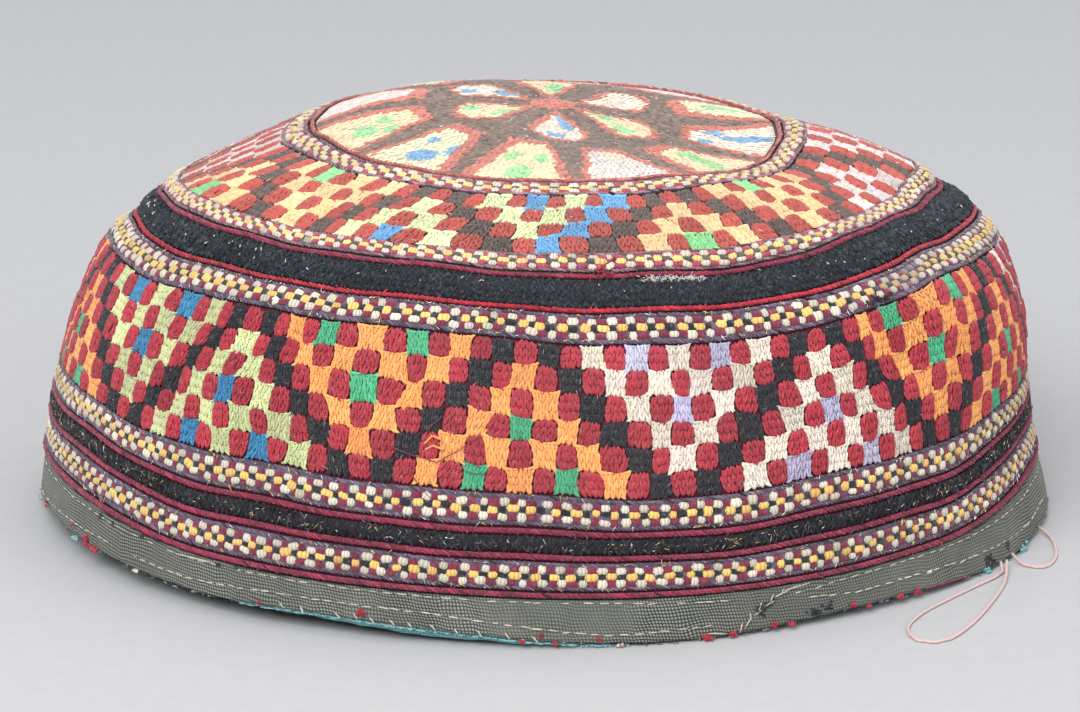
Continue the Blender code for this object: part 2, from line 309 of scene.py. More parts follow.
# Braids: name, start, width, blocks round the cap.
BRAIDS = (
    ("crown_braid_inner", MEDALLION_WIDTH, CROWN_BRAID_INNER_WIDTH, 86),
    ("crown_braid_outer", RING_LAST, CROWN_BRAID_OUTER_WIDTH, 132),
    ("band_braid_top", TOP_BRAID_RUN, TOP_BRAID_WIDTH, 148),
    ("band_braid_middle", SIDE_LAST, MIDDLE_BRAID_WIDTH, 170),
    ("band_braid_lower", LOWER_BRAID_RUN, LOWER_BRAID_WIDTH, 172),
)

# Rows of blocks on a braid: the light block's share of a pair, its dye, the dark block's dye.
BRAID_ROWS = ((0.49, "pale", "maroon"), (0.55, "yellow", "black"), (0.49, "pale", "maroon"))
BRAID_EDGE = 0.16
BLOCK_HEIGHT = 0.00085

# Crimson cords: name, start.
CORDS = (
    ("medallion_cord", MEDALLION_CORD_RUN),
    ("crown_cord", CROWN_CORD_RUN),
    ("rim_cord", RIM_CORD_RUN),
    ("stripe_cord_upper", STRIPE_CORD_UPPER_RUN),
    ("stripe_cord_lower", STRIPE_CORD_LOWER_RUN),
    ("hem_cord", HEM_CORD_RUN),
)

# The stepped triangles. Each repeat has a triangle pointing down and one pointing up in one colour.
SIDE_COLOURS = "orange lime orange cream orange cream orange lime orange cream".split()
SIDE_ROWS = 6
SIDE_MARGIN = 0.0004
SIDE_REPEAT = 14
SIDE_START = -74.7
RING_COLOURS = "lime orange cream orange lime orange cream orange".split()
RING_ROWS = 4
RING_MARGIN = 0.0003
RING_REPEAT = 12
RING_START = -21.9

# Accent cells: the triangle's way, row, place in the row.
SIDE_ACCENTS = dict.fromkeys(
    ("orange", "lime", "cream"),
    {("down", 0, 3), ("down", 0, 7), ("down", 2, 3), ("up", 3, 3), ("up", 5, 3), ("up", 5, 7)},
)
RING_ACCENTS = dict.fromkeys(("orange", "cream"), {("down", 0, 3), ("up", 3, 3)})
RING_ACCENTS["lime"] = RING_ACCENTS["orange"] | {
    ("down", 0, 7), ("down", 1, 5), ("down", 2, 3), ("down", 3, 1)
}
ACCENT_OF = {"orange": "green", "lime": "blue", "cream": "lilac"}

# Where the side's cells stand askew: turn and half width in degrees, share of the way down and half
# share, drift in cells.
SIDE_DRIFTS = (
    (-26.0, 6.0, 0.10, 0.45, -0.70),
    (-50.0, 5.0, 0.00, 0.25, 0.60),
    (-39.0, 5.0, 0.60, 0.20, -0.55),
    (46.0, 4.0, 0.00, 0.30, -0.90),
    (56.0, 5.0, 0.00, 0.30, 0.70),
    (32.0, 9.0, 0.90, 0.35, 0.50),
    (-75.0, 9.0, 0.80, 0.50, -1.00),
)
RING_DRIFTS = (
    (-22.0, 10.0, 1.00, 0.55, -1.30),
    (-49.0, 8.0, 0.00, 0.40, -0.40),
    (-67.0, 9.0, 0.90, 0.50, -1.10),
    (0.5, 5.0, 0.90, 0.40, -0.50),
    (43.0, 8.0, 0.00, 0.40, 0.35),
)

# The medallion, in millimetres from its middle: its disc, the end of its petals and of their
# filling, the start of its outer cells and of their filling. Then the outline of a petal, in
# millimetres.
DISC_RADIUS = 4.0
PETAL_END = 20.6
PETAL_FILLED = 19.2
OUTER_START = 23.5
OUTER_FILLED = 26.0
PETAL_OUTLINE = 1.25

# Its petals and outer cells: their turns, and the thread that fills each.
PETAL_TURN = 4.0
PETALS = "cream orange cream orange cream orange".split()
OUTER_TURN = -9.5
OUTER_CELLS = "orange lilac orange cream lime lilac orange cream lime lilac orange lime".split()

# How far each thread of the medallion has faded, and the colour they fade to.
MEDALLION_FADES = {
    "cream": 0.60,
    "orange": 0.40,
    "lime": 0.45,
    "lilac": 0.35,
    "green": 0.12,
    "blue": 0.10,
    "coral": 0.04,
}
FADED = (0.90, 0.79, 0.60)

# Spots on them: ring, place in the ring, distance in millimetres, place across (-1 to 1), half
# length in millimetres, half width in millimetres, thread.
SPOTS = (
    ("petal", 0, 11.0, 0.45, 3.6, 1.3, "blue"),
    ("petal", 0, 17.2, -0.15, 1.2, 1.7, "blue"),
    ("petal", 1, 9.5, 0.30, 2.6, 1.6, "green"),
    ("petal", 1, 14.8, -0.35, 2.2, 1.9, "green"),
    ("petal", 3, 12.0, -0.30, 3.5, 1.4, "green"),
    ("petal", 4, 10.0, -0.20, 2.6, 1.7, "blue"),
    ("petal", 4, 16.5, 0.30, 1.8, 1.8, "blue"),
    ("petal", 5, 11.5, 0.50, 4.8, 1.1, "green"),
    ("petal", 5, 16.2, -0.40, 1.8, 1.6, "green"),
    ("outer", 0, 31.8, -0.30, 1.9, 1.5, "green"),
    ("outer", 0, 32.6, 0.50, 1.9, 1.5, "green"),
    ("outer", 0, 38.6, 0.05, 3.0, 2.4, "green"),
    ("outer", 1, 29.5, 0.05, 1.9, 1.6, "orange"),
    ("outer", 2, 30.0, 0.35, 2.6, 1.5, "green"),
    ("outer", 2, 34.5, 0.10, 3.2, 1.6, "green"),
    ("outer", 2, 39.0, -0.10, 2.6, 1.6, "green"),
    ("outer", 3, 30.0, 0.35, 2.2, 1.4, "blue"),
    ("outer", 3, 36.5, 0.00, 5.5, 1.5, "blue"),
    ("outer", 3, 29.0, -0.50, 1.8, 1.1, "blue"),
    ("outer", 4, 35.0, 0.10, 5.0, 1.8, "green"),
    ("outer", 6, 36.0, -0.20, 4.0, 1.8, "green"),
    ("outer", 7, 35.0, 0.20, 4.5, 1.6, "blue"),
    ("outer", 8, 34.0, 0.00, 4.0, 2.0, "green"),
    ("outer", 10, 31.9, 0.00, 1.8, 1.8, "green"),
    ("outer", 10, 36.8, 0.30, 2.4, 2.6, "green"),
    ("outer", 10, 32.6, 0.65, 1.6, 1.3, "green"),
    ("outer", 11, 36.8, 0.05, 2.6, 2.8, "blue"),
    ("outer", 11, 32.8, 0.60, 2.2, 1.4, "blue"),
    ("outer", 11, 31.0, -0.35, 1.4, 1.1, "blue"),
)

# The hem's two lines of running stitch: turn, and how far down the hem each line runs.
HEM_LINES = (
    (-180.0, 0.12, 0.60),
    (-74.5, 0.14, 0.74),
    (-57.5, 0.12, 0.60),
    (-42.0, 0.10, 0.64),
    (-30.0, 0.08, 0.52),
    (-11.5, 0.07, 0.51),
    (-2.0, 0.06, 0.64),
    (8.0, 0.06, 0.78),
    (20.0, 0.18, 0.66),
    (29.0, 0.22, 0.38),
    (36.0, 0.09, 0.54),
    (47.0, 0.06, 0.50),
    (69.0, 0.14, 0.58),
    (90.0, 0.12, 0.60),
    (180.0, 0.12, 0.60),
)

# Its running stitch: column above, distance between two, length as a share of it, width.
RUNNING_STITCHES = ((1, 0.0026, 0.62, 0.00030), (2, 0.0024, 0.70, 0.00032))

# Slanting stitches over the hem's edge: their turns.
EDGE_STITCHES = (-28.4, -26.0, -21.8, -19.6, -17.9, -15.6, -13.8, -11.2, -8.8, -6.3, -3.4, -0.6)

# The mended tear's stitches: turn and distance down the hem at both ends.
TEAR_STITCHES = (
    (17.6, 0.84, 19.8, 0.90),
    (21.3, 0.92, 21.6, 0.72),
    (21.9, 0.84, 22.6, 0.64),
    (22.6, 0.70, 22.5, 0.52),
    (23.0, 0.60, 24.0, 0.48),
    (23.5, 0.52, 23.9, 0.30),
    (24.3, 0.42, 25.5, 0.32),
    (24.9, 0.34, 25.3, 0.16),
    (25.4, 0.24, 27.2, 0.12),
    (26.2, 0.20, 26.6, 0.06),
    (26.6, 0.12, 28.8, 0.03),
    (27.6, 0.10, 30.0, 0.02),
)

# Tufts and frays of the hem: turn, distance down the hem, spread and length in metres, threads,
# dye.
TUFTS = (
    (-74.8, 0.77, 0.0003, 0.0008, 4, "scarlet"),
    (-64.2, 0.69, 0.0002, 0.0007, 3, "scarlet"),
    (-60.4, 0.80, 0.0004, 0.0018, 10, "scarlet"),
    (-58.4, 0.95, 0.0006, 0.0016, 14, "scarlet"),
    (-31.1, 0.86, 0.0002, 0.0008, 4, "scarlet"),
    (-19.1, 0.70, 0.0005, 0.0012, 16, "scarlet"),
    (-2.0, 0.98, 0.0003, 0.0011, 5, "scarlet"),
    (-0.1, 0.76, 0.0003, 0.0009, 4, "scarlet"),
    (1.5, 0.97, 0.0003, 0.0011, 5, "scarlet"),
    (6.0, 0.82, 0.0003, 0.0010, 5, "scarlet"),
    (8.3, 0.95, 0.0004, 0.0010, 5, "pink"),
    (17.5, 0.88, 0.0004, 0.0014, 7, "scarlet"),
    (20.4, 0.88, 0.0003, 0.0014, 6, "scarlet"),
    (25.2, 0.86, 0.0003, 0.0011, 6, "scarlet"),
    (27.2, 0.94, 0.0004, 0.0016, 10, "scarlet"),
    (35.0, 0.80, 0.0003, 0.0014, 6, "scarlet"),
    (37.1, 0.97, 0.0003, 0.0012, 5, "scarlet"),
    (42.0, 0.91, 0.0004, 0.0017, 10, "scarlet"),
    (44.5, 0.92, 0.0004, 0.0013, 9, "scarlet"),
    (-49.5, 0.97, 0.0004, 0.0015, 14, "pale"),
    (46.6, 0.50, 0.0002, 0.0006, 6, "pale"),
    (-63.5, 0.97, 0.0005, 0.0014, 10, "turquoise"),
    (57.0, 0.94, 0.0005, 0.0012, 10, "turquoise"),
    (66.0, 0.90, 0.0007, 0.0014, 14, "turquoise"),
    (-57.9, 0.10, 0.0003, 0.0010, 5, "black"),
    (-54.9, 0.13, 0.0002, 0.0008, 4, "black"),
    (-49.1, 0.02, 0.0003, 0.0008, 5, "black"),
    (-36.9, 0.02, 0.0003, 0.0009, 6, "black"),
    (-34.6, 0.02, 0.0002, 0.0009, 4, "black"),
    (23.8, 0.45, 0.0006, 0.0013, 22, "black"),
    (25.2, 0.30, 0.0004, 0.0010, 10, "black"),
    (30.4, 0.78, 0.0006, 0.0013, 16, "black"),
    (32.1, 0.70, 0.0005, 0.0012, 10, "black"),
    (57.8, 0.74, 0.0007, 0.0016, 18, "black"),
    (62.0, 0.60, 0.0006, 0.0012, 8, "black"),
)

# Stretches of the rim where the lining's frayed edge shows: first and last turn, threads.
FRAYED = ((-34.0, -18.0, 120), (-18.0, -4.0, 140), (-4.0, 9.0, 100), (56.0, 68.0, 90))

# Stray threads on the front of the side: turn and run in metres, and a dye.
STRAYS = (
    (
        "crimson",
        ((-18.1, 0.1036), (-15.1, 0.1050), (-11.8, 0.1059), (-9.1, 0.1035), (-7.2, 0.1016)),
    ),
    ("crimson", ((-13.0, 0.1040), (-13.4, 0.1024), (-12.9, 0.1008), (-11.8, 0.0995))),
    ("crimson", ((-14.4, 0.1081), (-13.4, 0.1096), (-12.0, 0.1114))),
    ("orange", ((-13.4, 0.1034), (-12.6, 0.1022), (-11.6, 0.1026))),
    ("orange", ((-13.2, 0.1042), (-12.4, 0.1036), (-11.2, 0.1040))),
    ("purple", ((-8.6, 0.1068), (-7.6, 0.1070), (-6.4, 0.1069))),
    ("scarlet", ((5.6, 0.0716), (6.6, 0.0712), (7.8, 0.0703), (8.8, 0.0690))),
)

# The two loose threads on the floor, from where each leaves the rim, in metres.
LOOP_THREAD = (
    (0.0797, -0.0474, 0.0012),
    (0.0794, -0.0514, 0.0004),
    (0.0752, -0.0572, 0.0003),
    (0.0694, -0.0652, 0.0003),
    (0.0640, -0.0735, 0.0003),
    (0.0612, -0.0812, 0.0003),
    (0.0626, -0.0878, 0.0003),
    (0.0673, -0.0873, 0.0003),
    (0.0721, -0.0788, 0.0003),
    (0.0763, -0.0675, 0.0003),
    (0.0796, -0.0562, 0.0004),
    (0.0808, -0.0466, 0.0012),
)
SIDE_THREAD = (
    (0.0820, -0.0414, 0.0010),
    (0.0838, -0.0462, 0.0004),
    (0.0874, -0.0472, 0.0003),
    (0.0897, -0.0420, 0.0003),
    (0.0903, -0.0350, 0.0003),
    (0.0898, -0.0290, 0.0004),
    (0.0878, -0.0250, 0.0010),
)
THREAD_DIAMETER = 0.0005
THREAD_POINTS = 30


def dye(name, text, *srgb):
    """A colour property, given as it looks on screen."""
    linear = [c / 12.92 if c <= 0.04045 else ((c + 0.055) / 1.055) ** 2.4 for c in srgb]
    return FloatVectorProperty(
        name=name, description=text, subtype="COLOR", size=3, min=0, max=1, default=linear
    )


class SkullcapDyes(bpy.types.PropertyGroup):
    """Thread and cloth colours on the shaded side of the cap."""

    red: dye("Red", "Rounded cells", 0.70, 0.22, 0.27)
    black: dye("Black", "Zigzag cells, roll and stripe", 0.17, 0.17, 0.19)
    orange: dye("Orange", "Orange cells", 1.00, 0.68, 0.40)
    lime: dye("Lime", "Yellow-green cells", 0.81, 0.83, 0.62)
    cream: dye("Cream", "Pale cells", 0.91, 0.86, 0.80)
    green: dye("Green", "Accents among orange", 0.32, 0.70, 0.52)
    blue: dye("Blue", "Accents among yellow-green", 0.23, 0.52, 0.68)
    lilac: dye("Lilac", "Accents among cream", 0.74, 0.72, 0.81)
    maroon: dye("Maroon", "Dark blocks in the braids", 0.50, 0.18, 0.27)
    crimson: dye("Crimson", "Cords", 0.56, 0.17, 0.28)
    scarlet: dye("Scarlet", "Cord below the roll, knots of the rim", 0.68, 0.16, 0.22)
    purple: dye("Purple", "Edges of the braids", 0.41, 0.35, 0.42)
    yellow: dye("Yellow", "Yellow blocks in the braids", 0.92, 0.75, 0.42)
    pale: dye("Pale", "White blocks in the braids", 0.82, 0.79, 0.71)
    navy: dye("Navy", "Padded roll", 0.15, 0.18, 0.21)
    grey: dye("Grey", "Hem cloth", 0.47, 0.48, 0.45)
    turquoise: dye("Turquoise", "Lining", 0.50, 0.74, 0.76)
    pink: dye("Pink", "Loose thread", 0.90, 0.76, 0.74)
    gold: dye("Gold", "Metal thread among the braids", 0.95, 0.78, 0.42)


class SkullcapCrownDyes(bpy.types.PropertyGroup):
    """The same threads where the crown has faded."""

    red: dye("Red", "Rounded cells of the crown", 0.74, 0.34, 0.30)
    black: dye("Black", "Dark cells of the ring", 0.39, 0.33, 0.31)
    orange: dye("Orange", "Orange cells of the crown", 0.96, 0.82, 0.62)
    lime: dye("Lime", "Yellow-green cells of the crown", 0.85, 0.88, 0.69)
    cream: dye("Cream", "Pale cells of the crown", 0.87, 0.81, 0.79)
    green: dye("Green", "Accents of the crown", 0.57, 0.85, 0.58)
    blue: dye("Blue", "Accents of the crown", 0.42, 0.65, 0.82)
    lilac: dye("Lilac", "Accents of the crown", 0.85, 0.82, 0.83)
    brown: dye("Brown", "Ground of the medallion", 0.50, 0.42, 0.38)
    coral: dye("Coral", "Outlines of the medallion", 0.80, 0.46, 0.40)
    maroon: dye("Maroon", "Dark blocks in the crown braids", 0.68, 0.28, 0.36)
    purple: dye("Purple", "Edges of the crown braids", 0.58, 0.44, 0.46)
    yellow: dye("Yellow", "Yellow blocks in the crown braids", 0.96, 0.82, 0.50)
    pale: dye("Pale", "White blocks in the crown braids", 0.85, 0.80, 0.73)


def length(name, text, default):
    return FloatProperty(name=name, description=text, default=default, unit="LENGTH", min=0.00005)


class SkullcapSizes(bpy.types.PropertyGroup):
    """Sizes of threads and stitches."""

    strand: length("Strand", "Width of one strand of a chain stitch", 0.00066)
    weave: length("Weave", "Distance between threads of the hem cloth", 0.00056)
    pad: length("Pad", "How far a rounded cell stands out", 0.00055)


class SkullcapStage(bpy.types.PropertyGroup):
    """The floor and the lights."""

    floor: length("Floor", "Width of the floor", 8.0)
    key: FloatProperty(name="Key light", description="Power of the large light", default=19.0)
    fill: FloatProperty(name="Fill light", description="Power of the fill light", default=6.0)
    sky: FloatProperty(name="Sky", description="Strength of the even light", default=0.60)


class Value:
    """A shader socket on which Python's arithmetic adds Math nodes."""

    def __init__(self, finish, socket):
        self.finish = finish
        self.socket = socket

    def maths(self, operation, *inputs):
        values = dict(enumerate(inputs))
        node = self.finish.node("ShaderNodeMath", {"operation": operation}, values)
        return Value(self.finish, node.outputs[0])

    def __add__(self, other):
        return self.maths("ADD", self, other)

    __radd__ = __add__

    def __mul__(self, other):
        return self.maths("MULTIPLY", self, other)

    __rmul__ = __mul__

    def __sub__(self, other):
        return self.maths("SUBTRACT", self, other)

    def __rsub__(self, other):
        return self.maths("SUBTRACT", other, self)

    def __pow__(self, other):
        return self.maths("POWER", self, other)

    def sine(self):
        return self.maths("SINE", self)

    def size(self):
        return self.maths("ABSOLUTE", self)

    def at_least(self, other):
        return self.maths("MAXIMUM", self, other)

    def at_most(self, other):
        return self.maths("MINIMUM", self, other)

    def ramp(self, low, high):
        """0 at low, 1 at high, smooth between."""
        inputs = {0: self, 1: low, 2: high, 3: 0.0, 4: 1.0}
        node = self.finish.node("ShaderNodeMapRange", {"interpolation_type": "SMOOTHSTEP"}, inputs)
        return Value(self.finish, node.outputs[0])


class Finish:
    """A material made of nodes."""

    def __init__(self, name, roughness, sheen=0.0, specular=0.25):
        self.material = bpy.data.materials.new(name)
        self.material.use_nodes = True
        self.tree = self.material.node_tree
        self.shader = self.tree.nodes["Principled BSDF"]
        self.shader.inputs["Roughness"].default_value = roughness
        self.shader.inputs["Sheen Weight"].default_value = sheen
        self.shader.inputs["Sheen Roughness"].default_value = 0.45
        self.shader.inputs["Specular IOR Level"].default_value = specular
        self.place = self.node("ShaderNodeTexCoord").outputs["Object"]

    def node(self, kind, settings=None, inputs=None):
        """A node of that kind, its settings made first and then its sockets set or linked."""
        node = self.tree.nodes.new(kind)
        for key, value in (settings or {}).items():
            setattr(node, key, value)
        for key, value in (inputs or {}).items():
            value = getattr(value, "socket", value)
            if isinstance(value, bpy.types.NodeSocket):
                self.tree.links.new(value, node.inputs[key])
            else:
                node.inputs[key].default_value = value
        return node

    def noise(self, scale, detail):
        inputs = {"Vector": self.place, "Scale": scale, "Detail": detail, "Roughness": 0.6}
        return Value(self, self.node("ShaderNodeTexNoise", None, inputs).outputs[0])

    def axes(self, vector):
        node = self.node("ShaderNodeSeparateXYZ", None, {0: vector})
        return [Value(self, node.outputs[k]) for k in range(3)]

    def mix(self, share, first, second):
        """Two colours mixed."""
        inputs = {0: share, 6: first, 7: second}
        node = self.node("ShaderNodeMix", {"data_type": "RGBA"}, inputs)
        return Value(self, node.outputs[2])

    def dyed(self):
        """The colour that each stitch was given."""
        node = self.node("ShaderNodeAttribute", {"attribute_name": "dye"})
        return Value(self, node.outputs["Color"])

    def scaled(self, colour, factor):
        """A colour made lighter or darker by a number."""
        settings = {"operation": "SCALE"}
        node = self.node("ShaderNodeVectorMath", settings, {0: colour, 3: factor})
        return Value(self, node.outputs[0])

    def colour(self, value):
        self.tree.links.new(value.socket, self.shader.inputs["Base Color"])

    def roughness(self, value):
        self.tree.links.new(value.socket, self.shader.inputs["Roughness"])

    def bump(self, height, strength, distance):
        inputs = {"Height": height, "Strength": strength, "Distance": distance}
        node = self.node("ShaderNodeBump", None, inputs)
        self.tree.links.new(node.outputs[0], self.shader.inputs["Normal"])


def rgba(colour, factor=1.0):
    return (*[min(c * factor, 1.0) for c in colour], 1.0)


def thread_finish(name, roughness=0.72, sheen=0.25, plies=0.0):
    """Spun thread: the stitch's own dye, worn lighter and darker, with fine twisted fibres.

    Plies are the grooves between strands laid side by side across the piece.
    """
    finish = Finish(name, roughness, sheen)
    patches = finish.noise(60.0, 3.0).ramp(0.25, 0.8)
    flecks = finish.noise(2200.0, 2.0)
    place = finish.node("ShaderNodeUVMap", {"uv_map": "thread"}).outputs[0]
    along, around, _ = finish.axes(place)
    twist = (along * 14.0 + around * 7.0 + flecks * 2.5).sine()
    shade = 0.80 + patches * 0.16 + flecks * 0.26 + twist * 0.07
    height = twist * 0.4 + flecks
    if plies:
        groove = (along * (math.pi * plies) + flecks * 0.8).sine().size() ** 0.5
        # Painted shade: the colour is darker down in each groove between the plies.
        shade = shade * (0.58 + groove * 0.46)
        height = height * 0.5 + groove * 1.5
    worn = finish.noise(1300.0, 2.0).ramp(0.52, 0.74) * 0.13
    finish.colour(finish.mix(worn, finish.scaled(finish.dyed(), shade), (0.62, 0.55, 0.52, 1.0)))
    finish.roughness(roughness - 0.12 + flecks * 0.22)
    finish.bump(height, 0.6, 0.00014)
    return finish.material


def cloth_finish(name, dark, light, weave):
    """Plain woven cloth: crossing threads, rubbed smooth and dirty in patches."""
    finish = Finish(name, 0.85, 0.15)
    x, y, z = finish.axes(finish.place)
    round_way = x.maths("ARCTAN2", x, y * -1.0) * RIM_RADIUS
    slip = finish.noise(110.0, 2.0) * 0.0022
    warp = ((round_way + z * 0.25 + slip) * (math.pi / weave)).sine()
    weft = ((z + round_way * 0.04 + slip) * (math.pi / weave)).sine()
    knots = (warp * weft).size()
    fibres = finish.noise(2600.0, 2.0)
    rubbed_and_sheen = finish.noise(38.0, 4.0).ramp(0.42, 0.66)
    uneven_tone = finish.noise(95.0, 4.0).ramp(0.30, 0.75)
    # Painted light and shade on the weave: lighter on the crossings, darker between the threads.
    # The smooth worn patches lose the weave and are lighter, a painted sheen.
    share = knots.ramp(0.15, 0.95) * (1.0 - rubbed_and_sheen * 0.6) + rubbed_and_sheen * 0.22 + fibres * 0.20 - 0.06
    # Darker and lighter in large random patches.
    share = (share * (0.70 + uneven_tone * 0.40)).at_least(0.0).at_most(1.0)
    finish.colour(finish.mix(share, rgba(dark), rgba(light)))
    finish.bump(knots * (1.0 - rubbed_and_sheen * 0.7) + fibres * 0.5, 0.8, 0.00022)
    return finish.material


def ground_finish(name, colour):
    """The dark cloth that shows between stitches."""
    finish = Finish(name, 0.9)
    fibres = finish.noise(1500.0, 3.0)
    finish.colour(finish.mix(fibres.ramp(0.3, 0.8), rgba(colour, 0.7), rgba(colour, 1.4)))
    finish.bump(fibres, 0.6, 0.0002)
    return finish.material


def glint_finish(name):
    """Flat metal thread wound round a core."""
    finish = Finish(name, 0.3, 0.0, 0.5)
    finish.shader.inputs["Metallic"].default_value = 0.9
    fibres = finish.noise(1500.0, 2.0)
    finish.colour(finish.scaled(finish.dyed(), 0.75 + fibres * 0.5))
    finish.roughness(0.2 + fibres * 0.3)
    return finish.material


def shape_of(bm):
    """A small shape's corners and faces, to be repeated."""
    bm.verts.ensure_lookup_table()
    corners = np.array([v.co for v in bm.verts])
    faces = [[v.index for v in f.verts] for f in bm.faces]
    bm.free()
    return corners, faces


def strand_shape(sides=3, bow=0.14):
    """A short length of thread along X, one unit either way, bowed so that its ends go down."""
    bm = bmesh.new()
    bmesh.ops.create_uvsphere(bm, u_segments=sides, v_segments=3, radius=1.0)
    bmesh.ops.rotate(bm, verts=bm.verts, matrix=turned(90, "Y"))
    bmesh.ops.rotate(bm, verts=bm.verts, matrix=turned(90 if sides == 3 else 45, "X"))
    for v in bm.verts:
        v.co.z -= bow * v.co.x**2
    bmesh.ops.recalc_face_normals(bm, faces=bm.faces)
    bm.verts.index_update()
    return shape_of(bm)


def block_shape():
    """A plump block of laid threads along X, blunt at both ends."""
    corners, faces = strand_shape(6, 0.0)
    middle = np.abs(corners[:, 0]) < 0.9
    corners[middle, 0] *= 0.66 / 0.5
    corners[middle, 1:] /= 0.866
    return corners, faces


def turned(degrees, axis):
    return Matrix.Rotation(math.radians(degrees), 3, axis)


def joined(name, shape, places, material, dyes, normals=None):
    """One mesh of many copies of a shape, whose corners are at places[copy, corner].

    Normals, if given, shade each corner rounder than its few faces are.
    """
    corners, faces = shape
    copies, count = places.shape[:2]
    sizes = np.array([len(f) for f in faces])
    loops = np.concatenate([np.array(f) for f in faces])
    starts = np.concatenate(([0], np.cumsum(sizes)[:-1]))
    offsets = np.arange(copies)[:, None]
    mesh = bpy.data.meshes.new(name)
    mesh.vertices.add(copies * count)
    mesh.vertices.foreach_set("co", places.astype(np.float32).ravel())
    mesh.loops.add(copies * len(loops))
    mesh.loops.foreach_set("vertex_index", (loops + offsets * count).astype(np.int32).ravel())
    mesh.polygons.add(copies * len(sizes))
    starts = starts + offsets * len(loops)
    mesh.polygons.foreach_set("loop_start", starts.astype(np.int32).ravel())
    uv = np.stack((corners[loops, 0], corners[loops, 1]), axis=-1)
    uv = np.broadcast_to(uv, (copies, *uv.shape)) + np.stack((offsets * 2.0, offsets * 0.61), -1)
    mesh.update(calc_edges=True)
    mesh.uv_layers.new(name="thread").data.foreach_set("uv", uv.astype(np.float32).ravel())
    mesh.shade_smooth()
    if normals is not None:
        mesh.normals_split_custom_set_from_vertices(unit(normals).reshape(-1, 3))
    dyed = mesh.attributes.new("dye", "FLOAT_COLOR", "POINT")
    colours = np.ones((copies, count, 4), np.float32)
    colours[..., :3] = dyes[:, None, :]
    dyed.data.foreach_set("color", colours.ravel())
    mesh.materials.append(MATERIALS[material])
    return placed(name, mesh)


def linked(name, data):
    obj = bpy.data.objects.new(name, data)
    bpy.context.scene.collection.objects.link(obj)
    return obj


def placed(name, mesh):
    obj = linked(name, mesh)
    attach(obj, "root")
    return obj


class Stitches:
    """Strands of thread laid from place to place on the cap, gathered into one mesh."""

    def __init__(self, seed):
        self.dice = np.random.default_rng(seed)
        self.batches = []

    def lay(self, run0, turn0, run1, turn1, lift, width, height, colour, stray=0.00005, shade=0.09):
        """Strands from (run0, turn0) to (run1, turn1). Any value may be one number or an array."""
        colour = np.asarray(colour, float)
        given = (run0, turn0, run1, turn1, lift, width, height, colour[..., 0])
        given = [np.asarray(v, float) for v in given]
        shape = np.broadcast_shapes(*[v.shape for v in given])
        flat = [np.broadcast_to(v, shape).ravel() for v in given[:7]]
        colour = np.broadcast_to(colour, (*shape, 3)).reshape(-1, 3)
        count = len(flat[0])
        degree = np.degrees(stray / np.maximum(CAP.radius(flat[0]), 0.004))
        for k, size in ((0, stray), (1, degree), (2, stray), (3, degree)):
            flat[k] = flat[k] + self.dice.normal(0, 1, count) * size
        flat[4] = flat[4] + self.dice.normal(0, 0.00003, count)
        bright = self.dice.normal(1.0, shade, (count, 1))
        tint = self.dice.normal(1.0, 0.025, (count, 3))
        self.batches.append((*flat, np.clip(colour * bright * tint, 0.002, 1.0)))

    def slant(self, run, turn, down, over, *look):
        """Strands through (run, turn) that reach down and over from it either way."""
        self.lay(run - down, turn - over, run + down, turn + over, *look)

    def build(self, name, shape, material, slot, reach=0.58, flatness=0.45):
        """The piece. Reach is half a strand's length as a share of the distance that it spans, and
        flatness how far its shading leans out of the cloth.
        """
        run0, turn0, run1, turn1, lift, width, height, colour = [
            np.concatenate(v) for v in zip(*self.batches)
        ]
        start = CAP.point(run0, turn0, lift)
        end = CAP.point(run1, turn1, lift)
        run, turn = (run0 + run1) / 2, (turn0 + turn1) / 2
        middle = CAP.point(run, turn, lift)
        down = CAP.point(run + 0.0003, turn, lift) - middle
        across = CAP.point(run, turn + 0.4, lift) - middle
        outward = unit(np.cross(down, across))
        along = (end - start) * reach
        side = unit(np.cross(outward, along))
        corners = shape[0]
        places = middle[:, None] + along[:, None] * corners[None, :, :1]
        places = places + (side * width[:, None] * 0.5)[:, None] * corners[None, :, 1:2]
        places = places + (outward * height[:, None] * 0.5)[:, None] * corners[None, :, 2:]
        places[..., 2] = np.maximum(places[..., 2], 0.0)
        normals = unit(along)[:, None] * corners[None, :, :1] * 0.5
        normals = normals + side[:, None] * corners[None, :, 1:2]
        normals = normals + outward[:, None] * (corners[None, :, 2:] + flatness)
        return joined(name, shape, places, material, colour, normals)


class Lattice:
    """A ring of cells on the cap, its corners strayed as hand stitching strays."""

    def __init__(self, first, last, rows, columns, start, seed, stray, drifts):
        dice = np.random.default_rng(seed)
        lines = np.linspace(first, last, rows + 1)
        run = np.repeat(lines[:, None], columns, axis=1)
        pitch = 360.0 / columns
        turn = start + (np.arange(columns) - 0.5) * pitch
        turn = np.repeat(turn[None], rows + 1, axis=0)
        degree = np.degrees(stray / CAP.radius(lines))[:, None]
        turn = turn + dice.normal(0, 1, turn.shape) * degree
        level = np.linspace(0, 1, rows + 1)[:, None]
        for where, half, depth, half_depth, cells in drifts:
            share = hump(apart(turn, where), half) * hump(level - depth, half_depth)
            turn = turn + share * cells * pitch
        inner = np.ones((rows + 1, 1))
        inner[0] = inner[-1] = 0.3
        run = run + dice.normal(0, stray * 0.7, run.shape) * inner
        self.run = np.concatenate((run, run[:, :1]), axis=1)
        self.turn = np.concatenate((turn, turn[:, :1] + 360.0), axis=1)

    def at(self, row, column, u, v):
        """The run and turn at a share u across and v down, from -1 to 1, of each cell."""
        u, v = (u + 1) / 2, (v + 1) / 2
        share = ((1 - u) * (1 - v), u * (1 - v), (1 - u) * v, u * v)
        found = []
        for values in (self.run, self.turn):
            ends = (
                values[row, column],
                values[row, column + 1],
                values[row + 1, column],
                values[row + 1, column + 1],
            )
            found.append(sum(s * e for s, e in zip(share, ends)))
        return found


